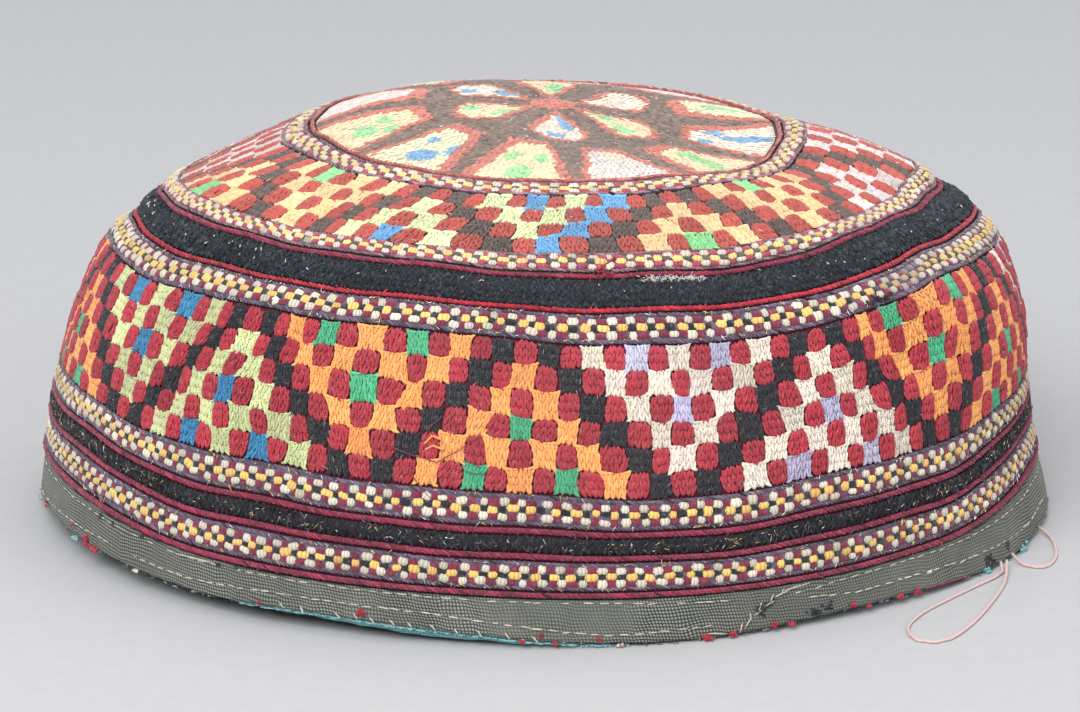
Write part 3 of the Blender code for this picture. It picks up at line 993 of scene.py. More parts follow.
def chart(columns, rows, repeat, colours, accents, widest, lag):
    """Each cell's row, column, way of filling and colour name, from the rule of the pattern.

    A triangle that points down has the colour of the next one pointing up, or with lag 1 of the
    last one.
    """
    cells = []
    for row in range(rows):
        for column in range(columns):
            k = (column + repeat // 2) // repeat
            j = column - k * repeat
            if abs(j) <= row:
                way, place, owner = "up", j + row, k
            elif abs(j) == row + 1:
                cells.append((row, column, "square", "black"))
                continue
            else:
                owner = k - lag + (1 if j > 0 else 0)
                middle = repeat // 2 if j > 0 else -repeat // 2
                way, place = "down", j - middle + (widest // 2 - row)
            name = colours[owner % len(colours)]
            if (way, row, place) in accents[name]:
                name = ACCENT_OF[name]
                cells.append((row, column, "spread", name))
            elif place % 2 == 0:
                cells.append((row, column, "round", "red"))
            else:
                cells.append((row, column, "spread", name))
    return cells


def cell_form(kind, u, v):
    """How a cell's filling departs from its square: rounded out, or drawn to its corners."""
    if kind == "round":
        return u * (0.95 - 0.15 * v**4), v * (0.98 - 0.16 * u**4)
    if kind == "spread":
        return u * (0.98 + 0.15 * v**4), v * (1.01 + 0.10 * u**4)
    return u * 0.98, v


def pad_shape():
    """A low cushion in a cell's own shares of width and height."""
    bm = bmesh.new()
    bmesh.ops.create_uvsphere(bm, u_segments=8, v_segments=3, radius=1.0)
    for v in bm.verts:
        v.co.x /= 0.866
        v.co.y /= 0.866
    bm.verts.index_update()
    return shape_of(bm)


# Ways of filling a cell: its form, its colour in a piece's name, the height of its pad and the
# brightness of its pad as shares, which is painted shade between the chains of red and black cells
# and painted light between those of pale cells.
CELL_KINDS = (
    ("round", "red", 1.0, 0.80),
    ("spread", "light", 0.5, 1.15),
    ("square", "black", 0.6, 0.80),
)


def fill_cells(name, lattice, cells, dyes, seed, pad, width):
    """Chain stitch in every cell, gathered by the kind of cell, over low pads of its colour."""
    dice = np.random.default_rng(seed)
    cushion = pad_shape()
    for number, (kind, label, pad_share, gap) in enumerate(CELL_KINDS):
        rows = [c for c in cells if c[2] == kind]
        row = np.array([c[0] for c in rows])[:, None]
        column = np.array([c[1] for c in rows])[:, None]
        colour = np.array([getattr(dyes, c[3]) for c in rows])
        colour = colour * dice.normal(1.0, 0.07, (len(rows), 1))
        colour = colour * dice.normal(1.0, 0.015, (len(rows), 3))
        height = pad_share * pad * dice.normal(1.0, 0.12, (len(rows), 1))

        # The pads, painted darker as shade between the chains, and lighter as light in pale cells.
        corner = cushion[0]
        squared = np.abs(corner[:, :2]).max(axis=1, keepdims=True)
        round_part = np.linalg.norm(corner[:, :2], axis=1, keepdims=True)
        flat = corner[:, :2] * (round_part / np.maximum(squared, 1e-6)) ** 0.75
        u, v = cell_form(kind, flat[None, :, 0], flat[None, :, 1])
        run, turn = lattice.at(row, column, u * 0.97, v * 0.97)
        rise = np.sign(corner[:, 2]) * np.abs(corner[:, 2]) ** 0.35
        lift = -GROUND_DEPTH + PAD_LIFT + rise[None] * height * 0.75
        places = CAP.point(run, turn, lift)
        pads = f"{name}_{label}_pads"
        # Colour times gap: painted shade, and painted light in pale cells.
        joined(pads, cushion, places, "thread", colour * gap)

        # The chains: each link is two strands that part at its top and meet at its foot.
        stitches = Stitches(seed + 2 * number + 1)
        spread = (np.arange(CHAIN_COLUMNS) + 0.5) / CHAIN_COLUMNS * 2 - 1
        half = 1.0 / CHAIN_COLUMNS
        slant = dice.normal(0, 0.05, (len(rows), 1))
        for k in range(CHAIN_LINKS):
            foot_sway = dice.normal(0, 0.05, (len(rows), CHAIN_COLUMNS))
            level = dice.normal(0, 0.05, (len(rows), CHAIN_COLUMNS))
            for side in (-1, 1):
                u0 = spread[None] + side * half * 0.80 + foot_sway - slant
                u1 = spread[None] + side * half * 0.14 + foot_sway + slant
                v0 = -1 + 2 * k / CHAIN_LINKS - 0.02 + level
                v1 = -1 + 2 * (k + 1) / CHAIN_LINKS + 0.10 + level
                run0, turn0 = lattice.at(row, column, *cell_form(kind, u0, v0))
                run1, turn1 = lattice.at(row, column, *cell_form(kind, u1, v1))
                middle_u, middle_v = (u0 + u1) / 2, (v0 + v1) / 2
                dome = np.clip((1 - middle_u**4) * (1 - (middle_v * 0.85) ** 4), 0, 1)
                lift = -GROUND_DEPTH + CHAIN_LIFT + height * dome
                stitches.lay(
                    run0, turn0, run1, turn1, lift, width, width * 0.8, colour[:, None], 0.00004,
                    0.08,
                )
        if kind == "spread":
            horns(stitches, lattice, row, column, colour, width)
        stitches.build(f"{name}_{label}_chains", STRAND, "thread", "ground_cloth")


def horns(stitches, lattice, row, column, colour, width):
    """Threads along the top of pale cells, and from their corners to the next one's."""
    for u in (-1, 1):
        for v in (-1, 1):
            run0, turn0 = lattice.at(row, column, 0.62 * u, 0.84 * v)
            run1, turn1 = lattice.at(row, column, 1.12 * u, 1.12 * v)
            stitches.lay(run0, turn0, run1, turn1, 0.0, width * 1.1, width, colour[:, None])
        run0, turn0 = lattice.at(row, column, 0.0, -0.92)
        run1, turn1 = lattice.at(row, column, u, -1.0)
        bright = np.minimum(colour[:, None] * 1.08, 1.0)
        stitches.lay(run0, turn0, run1, turn1, 0.00005, width * 0.9, width, bright)


STRAND = strand_shape()
BLOCK = block_shape()
MATERIALS = {}


def make_materials():
    dyes = bpy.context.scene.skullcap_dyes
    crown = bpy.context.scene.skullcap_crown_dyes
    sizes = bpy.context.scene.skullcap_sizes
    MATERIALS["thread"] = thread_finish("spun_thread")
    MATERIALS["dark_thread"] = thread_finish("black_spun_thread", 0.8, 0.1)
    MATERIALS["cord"] = thread_finish("corded_thread", 0.6, 0.2)
    MATERIALS["floss"] = thread_finish("laid_floss", 0.85, 0.3, plies=1.5)
    MATERIALS["glint"] = glint_finish("metal_thread")
    MATERIALS["side_ground"] = ground_finish("side_ground_cloth", [c * 0.5 for c in dyes.maroon])
    MATERIALS["crown_ground"] = ground_finish("crown_ground_cloth", crown.black)
    MATERIALS["braid_ground"] = ground_finish("braid_ground_cloth", dyes.purple)
    MATERIALS["black_ground"] = ground_finish("black_ground_cloth", dyes.black)
    # Each cloth's dark and light colours are a shaded and a lit copy of its one colour: painted
    # shade and painted light on the weave.
    grey = dyes.grey
    MATERIALS["hem"] = cloth_finish(
        "grey_hem_cloth", [c * 0.16 for c in grey], [c * 1.75 for c in grey], sizes.weave
    )
    blue = dyes.turquoise
    MATERIALS["lining"] = cloth_finish(
        "turquoise_lining_cloth", [c * 0.6 for c in blue], [min(c * 1.25, 1) for c in blue], 0.0005
    )


def ring(
    name, section, steps, materials, slot, nodes=(), inner_from=None, closed=True, shift=None,
    paint=None,
):
    """A piece spun round the cap from its section, a list of (run, lift).

    The section is spun flat, with its run as distance from the axis, and then laid on the cap, so
    that it follows every dent. Faces from corner inner_from on take the second material. Shift
    moves the places first, and paint gives each corner a dye from its run and turn.
    """
    bm = bmesh.new()
    far = 1.0
    order = bm.verts.layers.int.new("order")
    dyed = bm.verts.layers.float_color.new("dye")
    verts = [bm.verts.new((far + run, 0.0, lift)) for run, lift in section]
    pairs = list(zip(verts, verts[1:]))
    if closed:
        pairs.append((verts[-1], verts[0]))
    for k, vert in enumerate(verts):
        vert[order] = k
    edges = [bm.edges.new(pair) for pair in pairs]
    bmesh.ops.spin(
        bm, geom=verts + edges, axis=(0, 0, 1), angle=math.tau, steps=steps, use_merge=True
    )
    flat = np.array([v.co for v in bm.verts])
    run = np.hypot(flat[:, 0], flat[:, 1]) - far
    turn = np.degrees(np.arctan2(flat[:, 0], -flat[:, 1]))
    lift = flat[:, 2]
    if shift:
        run, turn, lift = shift(run, turn, lift)
    places = CAP.point(run, turn, lift)
    places[:, 2] = np.maximum(places[:, 2], 0.0)
    for k, (vert, place) in enumerate(zip(bm.verts, places)):
        vert.co = place
        if paint:
            vert[dyed] = (*paint(run[k], turn[k]), 1.0)
    for face in bm.faces:
        inner = inner_from is not None and min(v[order] for v in face.verts) >= inner_from
        face.material_index = 1 if inner else 0
        face.smooth = True
    bmesh.ops.remove_doubles(bm, verts=bm.verts, dist=1e-7)
    bmesh.ops.recalc_face_normals(bm, faces=bm.faces)
    mesh = bpy.data.meshes.new(name)
    bm.to_mesh(mesh)
    bm.free()
    for material in materials:
        mesh.materials.append(MATERIALS[material])
    obj = placed(name, mesh)
    if nodes:
        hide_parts(*nodes)
    return obj


def line(first, last, count):
    return [first + (last - first) * k / count for k in range(count + 1)]


def lay_ground():
    """The cloth of crown and side, under all the stitches."""
    for name, node, material, first, last, wall, counts, steps in (
        ("crown_cloth", "crown", "crown_ground", 0.0, CAP.seam - CLEARANCE / 2, CROWN_WALL,
         (34, 18), 160),
        ("side_cloth", "side_band", "side_ground", CAP.seam, HEM_TOP - CLEARANCE, BAND_WALL,
         (24, 12), 180),
    ):
        outside = [(run, -GROUND_DEPTH) for run in line(first, last, counts[0])]
        inside = [(run, -wall) for run in line(last, first, counts[1])]
        ring(
            name, outside + inside, steps, [material, "lining"], "ground_cloth", [node],
            inner_from=len(outside), closed=first > 0,
        )


def lint_over(first, last, levels, spread, lift, count, colour, width, seed):
    """Stray fibres along lines at those levels between two runs, and the dice for more of them."""
    dice = np.random.default_rng(seed)
    lint = Stitches(seed + 1)
    for level in levels:
        run = first + (last - first) * level
        flecks(lint, dice, run, spread, lift, count, colour, width=width)
    return lint, dice


def lay_side_cells():
    scene = bpy.context.scene
    dyes = scene.skullcap_dyes
    sizes = scene.skullcap_sizes
    columns = SIDE_REPEAT * len(SIDE_COLOURS)
    lattice = Lattice(
        SIDE_FIRST + SIDE_MARGIN, SIDE_LAST - SIDE_MARGIN, SIDE_ROWS, columns, SIDE_START, 11,
        0.00032, SIDE_DRIFTS,
    )
    cells = chart(columns, SIDE_ROWS, SIDE_REPEAT, SIDE_COLOURS, SIDE_ACCENTS, 11, 0)
    fill_cells("side", lattice, cells, dyes, 21, sizes.pad, sizes.strand)
    levels = (0.1, 0.3, 0.5, 0.7, 0.9)
    lint, dice = lint_over(
        SIDE_FIRST, SIDE_LAST, levels, spread=0.0016, lift=0.0004, count=90,
        colour=(0.50, 0.36, 0.36), width=0.00014, seed=25,
    )
    for name, path in STRAYS:
        points = np.array(path)
        share = np.linspace(0, len(points) - 1, 6 * (len(points) - 1) + 1)
        turn = np.interp(share, np.arange(len(points)), points[:, 0])
        run = np.interp(share, np.arange(len(points)), points[:, 1])
        wide = 0.00024 if name in ("crimson", "purple") else 0.00055
        colour = getattr(dyes, name)
        lint.lay(run[:-1], turn[:-1], run[1:], turn[1:], 0.0006, wide, wide, colour, 0.00003)
    worn = np.array(dyes.black) * 0.6
    flecks(lint, dice, TOP_BRAID_RUN + 0.0046, 0.0004, 0.0008, 26, worn, 43.0, 0.9, 0.0006)
    lint.build("side_strays", STRAND, "thread", "ground_cloth", 0.7)


def lay_crown_cells():
    scene = bpy.context.scene
    columns = RING_REPEAT * len(RING_COLOURS)
    lattice = Lattice(
        RING_FIRST + RING_MARGIN, RING_LAST - RING_MARGIN, RING_ROWS, columns, RING_START, 31,
        0.00035, RING_DRIFTS,
    )
    cells = chart(columns, RING_ROWS, RING_REPEAT, RING_COLOURS, RING_ACCENTS, 9, 1)
    pad = scene.skullcap_sizes.pad * 0.6
    fill_cells("crown", lattice, cells, scene.skullcap_crown_dyes, 41, pad, 0.00070)
    levels = (0.15, 0.5, 0.85)
    lint, _ = lint_over(
        RING_FIRST, RING_LAST, levels, spread=0.0018, lift=0.0003, count=70,
        colour=(0.70, 0.62, 0.58), width=0.00016, seed=45,
    )
    lint.build("crown_strays", STRAND, "thread", "ground_cloth", 0.7)


def medallion_dye(radius, turn, stray):
    """The name of the thread at a distance in millimetres and a turn on the medallion."""
    if radius < DISC_RADIUS:
        return "coral"
    index = round((turn - PETAL_TURN) / 60.0)
    across = math.radians(apart(turn, PETAL_TURN + index * 60.0)) * radius
    half = min(0.48 * (radius - 3.8), 2.7 * math.sqrt(max(PETAL_END - radius, 0.0)) + 0.2)
    if radius < PETAL_END and abs(across) < half + stray:
        if abs(across) > half - PETAL_OUTLINE + stray or radius > PETAL_FILLED:
            return "coral"
        return spotted("petal", index % 6, radius, across, half) or PETALS[index % 6]
    index = round((turn - OUTER_TURN) / 30.0)
    across = math.radians(apart(turn, OUTER_TURN + index * 30.0)) * radius
    gap = 2.6 - (radius - OUTER_START) * 0.075
    half = math.radians(15.0) * radius - gap
    if radius > OUTER_START + 0.5 * math.sin(index * 2.3) and abs(across) < half + stray:
        thick = 2.4 if across * (1 - 2 * (index % 2)) < 0 else 1.2
        start = OUTER_FILLED + 0.6 * math.sin(index * 1.7)
        if abs(across) > half - thick + stray or radius < start:
            return "coral"
        return spotted("outer", index % 12, radius, across, half) or OUTER_CELLS[index % 12]
    return "brown"


def spotted(ring, index, radius, across, half):
    """The thread of the spot there, if there is one."""
    for kind, place, distance, share, long, wide, name in SPOTS:
        if kind == ring and place == index:
            away = ((radius - distance) / long) ** 2 + ((across - share * half) / wide) ** 2
            if away < 1.0:
                return name
    return None


def medallion_colour(dyes, name):
    share = MEDALLION_FADES.get(name, 0.0)
    return [c * (1 - share) + f * share for c, f in zip(getattr(dyes, name), FADED)]


def lay_medallion():
    """Rows of small stitches in rings, each in the thread that the medallion has there."""
    dyes = bpy.context.scene.skullcap_crown_dyes

    def paint(run, turn):
        name = medallion_dye(run * 1000, turn, 0.0)
        # Where the field shows between stitches: painted shade on the brown ground, and painted
        # light under the coloured threads.
        gap = 0.85 if name == "brown" else 1.15
        return [min(c * gap, 1.0) for c in medallion_colour(dyes, name)]

    last = MEDALLION_CORD_RUN - 0.0002
    section = [(run, FIELD_TOP) for run in line(0.0004, last, 58)]
    section += [(run, FIELD_FOOT) for run in line(last, 0.0004, 24)]
    ring("medallion_field", section, 180, ["thread"], "ground_cloth", paint=paint)
    dice = np.random.default_rng(51)
    stitches = Stitches(52)
    spots = []
    for k in range(int((last - 0.0001) / RING_STEP)):
        run = (k + 0.6) * RING_STEP
        count = max(int(math.tau * CAP.radius(run) / STITCH_STEP), 5)
        for n in range(count):
            turn = (n + 0.5 * (k % 2)) * 360.0 / count - 180.0
            name = medallion_dye(run * 1000, turn, dice.normal(0, 0.12))
            spots.append((run, turn, name))
    run = np.array([s[0] for s in spots])
    turn = np.array([s[1] for s in spots])
    names = [s[2] for s in spots]
    colour = np.array([medallion_colour(dyes, n) for n in names])
    ground = np.array([n == "brown" for n in names])
    way = dice.normal(0, 0.5, len(run)) + np.where(ground, dice.uniform(-1.2, 1.2, len(run)), 0.0)
    long = np.where(ground, 0.00062, 0.00068)
    down = np.cos(way) * long
    over = np.degrees(np.sin(way) * long / np.maximum(CAP.radius(run), 0.001))
    lift = np.where(ground, -0.00018, -0.00008)
    colour = colour * dice.normal(1, np.where(ground, 0.20, 0.04), len(run))[:, None]
    stitches.slant(run, turn, down, over, lift, STITCH_WIDTH, STITCH_HEIGHT, colour, 0.00010)
    for run in (0.012, 0.021, 0.030, 0.037):
        flecks(stitches, dice, run, 0.004, 0.0001, 24, (0.80, 0.74, 0.68), width=0.00018)
    stitches.build("medallion_stitches", STRAND, "thread", "ground_cloth", flatness=1.8)


def lay_braids():
    """Three rows of plump blocks on each braid, between dark twisted edges with metal thread."""
    scene = bpy.context.scene
    glints = Stitches(60)
    for k, (name, first, width, count) in enumerate(BRAIDS):
        faded = name.startswith("crown")
        dyes = scene.skullcap_crown_dyes if faded else scene.skullcap_dyes
        top = 0.15 * BRAID_THICKNESS
        section = [(first, -SINK), (first + width, -SINK), (first + width - 0.0003, top)]
        section += [(first + width / 2, top), (first + 0.0003, top)]
        ring(f"{name}_ground", section, 160, ["braid_ground"], "checked_braid", [name])
        blocks = Stitches(61 + k)
        edge = width * BRAID_EDGE
        tall = (width - 2 * edge) / 3
        pitch = 360.0 / count
        dice = np.random.default_rng(71 + k)
        slots = np.arange(count)
        drift = smooth_noise(slots * 1.0, 0.0, 81 + k, 40.0) * 0.16 * pitch
        wander = smooth_noise(slots * 1.0, 3.0, 85 + k, 16.0) * 0.00012
        for row, (light_share, light, dark) in enumerate(BRAID_ROWS):
            middle = first + edge + tall * (row + 0.5)
            offset = 0.5 if row == 1 else 0.0
            shares = np.clip(light_share + dice.normal(0, 0.08, count), 0.36, 0.72)
            centre = (slots + offset) * pitch + drift + dice.normal(0, 0.07, count) * pitch
            rise = wander + dice.normal(0, 0.00011, count)
            worn = np.zeros(count)
            if name == "band_braid_top":
                worn = hump(apart(centre, 51.0), 5.0) * dice.uniform(0, 1, count)
            for colour, share, where, swell, lap, plump in (
                (light, shares, centre, 1.0, 1.10, 1.22),
                (dark, 1.0 - shares, centre + 0.5 * pitch, 0.70, 1.06, 1.08),
            ):
                own = np.array(getattr(dyes, colour)) * dice.normal(1, 0.11, (count, 1))
                own = own * (1 - worn[:, None]) + np.array(dyes.purple) * worn[:, None]
                half = share * pitch * 0.5 * lap
                tip = dice.normal(0.00005, 0.00015, count)
                high = (BLOCK_HEIGHT * swell) * dice.normal(1, 0.10, count) * (1 - 0.6 * worn)
                wide = tall * plump * dice.normal(1, 0.12, count)
                lift = top + 0.10 * high
                blocks.slant(middle + rise, where, tip, half, lift, wide, high, own, 0.00003, 0.04)
        blocks.build(f"{name}_blocks", BLOCK, "floss", "checked_braid", 0.5)
        edges = Stitches(91 + k)
        for where in (first + edge * 0.45, first + width - edge * 0.45):
            lift = top + 0.00010
            twisted(edges, where, 0.0008, edge * 0.80, edge * 0.62, lift, dyes.purple, 0.38)
            fuzz = np.array(dyes.purple) * 1.5
            flecks(edges, dice, where, 0.00025, 0.00045, 90, fuzz, width=0.00018)
            if not faded:
                sparkle(glints, dice, where, 170)
        edges.build(f"{name}_edges", STRAND, "cord", "checked_braid")
    for k, run in enumerate((STRIPE_RUN + STRIPE_WIDTH * 0.3, STRIPE_RUN + STRIPE_WIDTH * 0.7)):
        sparkle(glints, np.random.default_rng(58 + k), run, 190)
    glints.build("metal_flecks", STRAND, "glint", "checked_braid")


def sparkle(stitches, dice, run, count):
    """Short bits of gold and silver thread along a line round the cap."""
    dyes = bpy.context.scene.skullcap_dyes
    turn = dice.uniform(-180, 180, count)
    half = dice.uniform(0.00012, 0.00034, count)
    over = np.degrees(half / CAP.radius(run))
    down = dice.normal(0, 0.00020, count)
    silver = dice.uniform(0, 1, (count, 1)) < 0.45
    colour = np.where(silver, (0.80, 0.80, 0.84), np.array(dyes.gold))
    stitches.slant(run, turn, down, over, 0.00048, 0.00018, 0.00018, colour, 0.0002)


def twisted(stitches, run, pitch, reach, width, lift, colour, shade):
    """A twisted line of thread round the cap: slanting strands, each lapping the next."""
    count = int(math.tau * CAP.radius(run) / pitch)
    turn = np.arange(count) * 360.0 / count
    wide = 360.0 / count * 0.85
    stitches.slant(run, turn, reach * 0.5, wide, lift, width, width, colour, 0.00004, shade)


def lay_cords():
    """The crimson cords, each a two-ply twist on its own core."""
    scene = bpy.context.scene
    dyes = scene.skullcap_dyes
    for k, (name, first) in enumerate(CORDS):
        middle = first + CORD_WIDTH / 2
        small = name == "medallion_cord"
        half = CORD_WIDTH * (0.30 if small else 0.38)
        high = CORD_WIDTH * 0.40
        section = [(middle - half, 0.0), (middle, -SINK), (middle + half, 0.0), (middle, high)]
        colour = np.array(dyes.scarlet if name == "rim_cord" else dyes.crimson)
        if small:
            colour = np.array(scene.skullcap_crown_dyes.coral) * (0.80, 0.80, 0.95)
        # The core shows between the plies: its darker colour is painted shade.
        own = [c * 0.7 for c in colour]
        ring(
            f"{name}_core", section, 160, ["thread"], "crimson_cord", [name],
            paint=lambda run, turn: own,
        )
        ply = Stitches(101 + k)
        width = CORD_WIDTH * (0.50 if small else 0.64)
        twisted(ply, middle, 0.00098, half * 1.7, width, high * 0.8, colour, 0.26)
        # Stray fibre ends, lighter than the cord: painted highlights.
        bright = np.minimum(colour * 1.3 + 0.04, 1.0)
        dice = np.random.default_rng(108 + k)
        flecks(ply, dice, middle, 0.00022, high * 1.5, 150, bright, width=0.00020)
        ply.build(f"{name}_ply", STRAND, "cord", "crimson_cord")


def zigzag(stitches, dice, first, width, rows, pitch, thick, lift_at, colour, patch):
    """Rows of slanting strands leaning left and right by turns, rough, with lighter patches."""
    for row in range(rows):
        share = (row + 0.5) / rows
        run = first + share * width
        around = int(math.tau * CAP.radius(run) / pitch)
        step = 360.0 / around
        turn = np.arange(around) * step + row * 0.3 + dice.normal(0, 0.2, around) * step
        side = np.where(np.arange(around) % 2 == 0, 1.0, -1.0)
        lean = (0.40 * side + dice.normal(0, 0.28, around)) * step
        half = width / rows * dice.normal(0.70, 0.10, around)
        run = run + dice.normal(0, 0.00014, around)
        # Painted sheen: lighter patches along each row.
        grey = 1 + patch * smooth_noise(turn * 1.4, row * 9.0, 113, 8.0)
        grey = grey * dice.lognormal(0, 0.24, around)
        own = np.array(colour) * np.clip(grey, 0.3, 4.0)[:, None]
        lift = lift_at(share) + dice.normal(0, 0.00009, around)
        wide = thick * dice.normal(1.0, 0.15, around)
        stitches.slant(run, turn, half, lean, lift, wide, wide, own, 0.00008)


def flecks(
    stitches, dice, run, spread, lift, count, colour, near=None, wide=180.0, width=0.00026
):
    """Short stray ends of thread scattered along a line."""
    turn = dice.uniform(-180, 180, count) if near is None else dice.normal(near, wide, count)
    run = run + dice.normal(0, spread, count)
    half = dice.uniform(0.00015, 0.00038, count)
    way = dice.uniform(0, math.pi, count)
    over = np.degrees(np.cos(way) * half / CAP.radius(run))
    down = np.sin(way) * half
    stitches.slant(run, turn, down, over, lift, width, width, colour, 0.0001, 0.15)


def lay_roll():
    """The padded roll: a smooth core under rough slanting stitches of blue-black thread."""
    dyes = bpy.context.scene.skullcap_dyes
    section = []
    for k in range(13):
        swell = math.sin(math.pi * min(max(k / 12, 0.02), 0.98)) ** 0.7
        section.append((ROLL_TOP + k / 12 * ROLL_WIDTH, (ROLL_THICKNESS - 0.0006) * swell))
    section += [(ROLL_FOOT, -SINK), (ROLL_TOP, -SINK)]
    core = ring("rim_roll_core", section, 200, ["black_ground"], "black_thread", ["rim_roll"])

    def lift_at(share):
        return (ROLL_THICKNESS - 0.0005) * math.sin(math.pi * share) ** 0.7

    stitches = Stitches(111)
    dice = np.random.default_rng(112)
    zigzag(stitches, dice, ROLL_TOP, ROLL_WIDTH, 6, *ROLL_STRAND, lift_at, dyes.navy, 0.45)
    stitches.build("rim_roll_stitches", STRAND, "dark_thread", "black_thread")
    fuzz = Stitches(113)
    middle = ROLL_TOP + ROLL_WIDTH / 2
    flecks(fuzz, dice, middle, 0.0011, 0.0016, 90, (0.62, 0.58, 0.50))
    flecks(fuzz, dice, middle, 0.0014, 0.0014, 160, np.array(dyes.navy) * 2.0)
    for near in (13.5, 16.5, 19.1):
        flecks(fuzz, dice, ROLL_TOP + 0.0004, 0.0003, 0.0008, 34, dyes.pale, near, 0.9)
        flecks(fuzz, dice, ROLL_TOP + 0.0005, 0.0003, 0.0008, 16, dyes.lilac, near + 1, 0.8)
    flecks(fuzz, dice, CROWN_CORD_RUN + 0.0003, 0.0006, 0.0008, 26, dyes.scarlet, 6.6, 1.3)
    fuzz.build("roll_fuzz", STRAND, "thread", "black_thread")


def lay_stripe():
    """The narrow black stripe between two cords."""
    dyes = bpy.context.scene.skullcap_dyes
    last = STRIPE_RUN + STRIPE_WIDTH
    section = [(STRIPE_RUN, -SINK), (last, -SINK), (last, 0.0001)]
    section += [(STRIPE_RUN + STRIPE_WIDTH / 2, 0.00025), (STRIPE_RUN, 0.0001)]
    ring("black_stripe_core", section, 160, ["black_ground"], "black_thread", ["black_stripe"])
    stitches = Stitches(121)
    dice = np.random.default_rng(122)
    zigzag(
        stitches, dice, STRIPE_RUN, STRIPE_WIDTH, 3, *STRIPE_STRAND, lambda share: 0.0003,
        dyes.black, 0.6,
    )
    flecks(stitches, dice, STRIPE_RUN + STRIPE_WIDTH / 2, 0.0007, 0.0005, 300, (0.16, 0.15, 0.17))
    stitches.build("black_stripe_stitches", STRAND, "dark_thread", "black_thread")


def hem_shift(rows, near=0.0):
    """A mover that raises a foot as the part's rim is raised, and frays it."""

    def shift(run, turn, lift):
        share = np.clip((run - HEM_TOP) / HEM_HEIGHT, 0, 1)
        run = run - raised(turn, rows) * share
        ripple = smooth_noise(turn * 1.6, run * 900.0, 131, 22.0) * 0.00028
        ragged = 0.00022 + 0.00020 * smooth_noise(turn * 1.0, near * 9000.0, 132, 2.2)
        run = run - ragged * share**10
        return run, turn, lift + ripple * np.clip(share * 3, 0, 1)

    return shift


def lay_hem():
    """The grey binding of the rim, stitched down in two lines."""
    rim = CAP.length - CLEARANCE
    outside = [(run, 0.0) for run in line(HEM_TOP, rim - HEM_ROUNDING, 14)]
    outside.append((rim, -HEM_ROUNDING))
    inside = [(rim, -HEM_WALL + HEM_ROUNDING)]
    inside += [(run, -HEM_WALL) for run in line(rim - HEM_ROUNDING, HEM_TOP, 6)]
    ring(
        "hem_cloth", outside + inside, 360, ["hem"], "grey_cloth", ["hem_band"],
        shift=hem_shift(RIM_LIFTS + HEM_CREEPS),
    )


def lay_lining():
    """The strip of turquoise lining that shows below the hem."""
    near = -HEM_WALL - CLEARANCE
    far = near - LINING_WALL
    outside = [(run, near) for run in line(HEM_TOP, CAP.length, 8)]
    inside = [(run, far) for run in line(CAP.length, HEM_TOP, 5)]
    ring(
        "lining_cloth", outside + inside, 240, ["lining"], "turquoise_cloth", ["lining_edge"],
        shift=hem_shift(RIM_LIFTS, near),
    )


def hem_run(turn, share):
    """The run at a share of the way down the hem, which creeps up in places."""
    return HEM_TOP + share * (HEM_HEIGHT - raised(turn, RIM_LIFTS + HEM_CREEPS))


def on_hem(stitches, turn0, share0, turn1, share1, lift, width, colour, stray=0.0):
    """Threads from place to place on the hem."""
    turn0, share0, turn1, share1 = np.broadcast_arrays(turn0, share0, turn1, share1)
    run0 = hem_run(turn0, share0)
    run1 = hem_run(turn1, share1)
    stitches.lay(run0, turn0, run1, turn1, lift, width, width, colour, stray, 0.10)


def lay_hem_stitches():
    """Running stitches, slanting stitches, the mended tear, tufts and frays of the hem."""
    dyes = bpy.context.scene.skullcap_dyes
    dice = np.random.default_rng(141)
    stitches = Stitches(142)
    table = np.array(HEM_LINES)
    for column, pitch, long, width in RUNNING_STITCHES:
        step = math.degrees(pitch / RIM_RADIUS)
        turn = np.arange(-180, 180, step)
        turn = turn + dice.normal(0, 0.12, len(turn)) * step
        if column == 1:
            turn = turn[(dice.uniform(0, 1, len(turn)) > 0.18) & (np.abs(turn - 24) > 4)]
        else:
            turn = turn[np.abs(turn - 24) > 5]
        half = step * long / 2 * dice.normal(1, 0.15, len(turn))
        share0 = np.interp(turn - half, table[:, 0], table[:, column])
        share1 = np.interp(turn + half, table[:, 0], table[:, column])
        share0 = share0 + dice.normal(0, 0.015, len(turn))
        on_hem(stitches, turn - half, share0, turn + half, share1, 0.00012, width, dyes.pale)
    edge = np.array(EDGE_STITCHES)
    start = dice.uniform(0.74, 0.84, len(edge))
    on_hem(stitches, edge - 0.25, start, edge + 0.35, 0.96, 0.00022, 0.00034, dyes.pale, 0.0001)
    tear = np.array(TEAR_STITCHES)
    on_hem(stitches, *tear.T, 0.00030, 0.00036, np.array(dyes.pale) * 0.8)
    on_hem(stitches, -43.6, 0.10, -37.5, 0.04, 0.00022, 0.00036, dyes.pale)
    seam = np.linspace(46.0, 52.5, 16)
    on_hem(stitches, seam, 0.93, seam + 0.6, 0.90, 0.0001, 0.00042, dyes.crimson)
    for where, share, spread, long, count, name in TUFTS:
        tuft(stitches, dice, where, share, spread, long, count, getattr(dyes, name))
    stitches.build("hem_stitches", STRAND, "thread", "grey_cloth")
    frays = Stitches(143)
    for first, last, count in FRAYED:
        middle, half = (first + last) / 2, (last - first) / 2
        spots = middle + dice.uniform(-1, 1, count) * half
        edge_fuzz(frays, dice, spots, 1.0, np.array(dyes.turquoise) * 1.1)
    for count, share, bright in ((420, 0.97, 0.6), (260, 0.96, 1.5)):
        around = dice.uniform(-180, 180, count)
        edge_fuzz(frays, dice, around, share, np.array(dyes.grey) * bright)
    frays.build("hem_frays", STRAND, "thread", "grey_cloth")


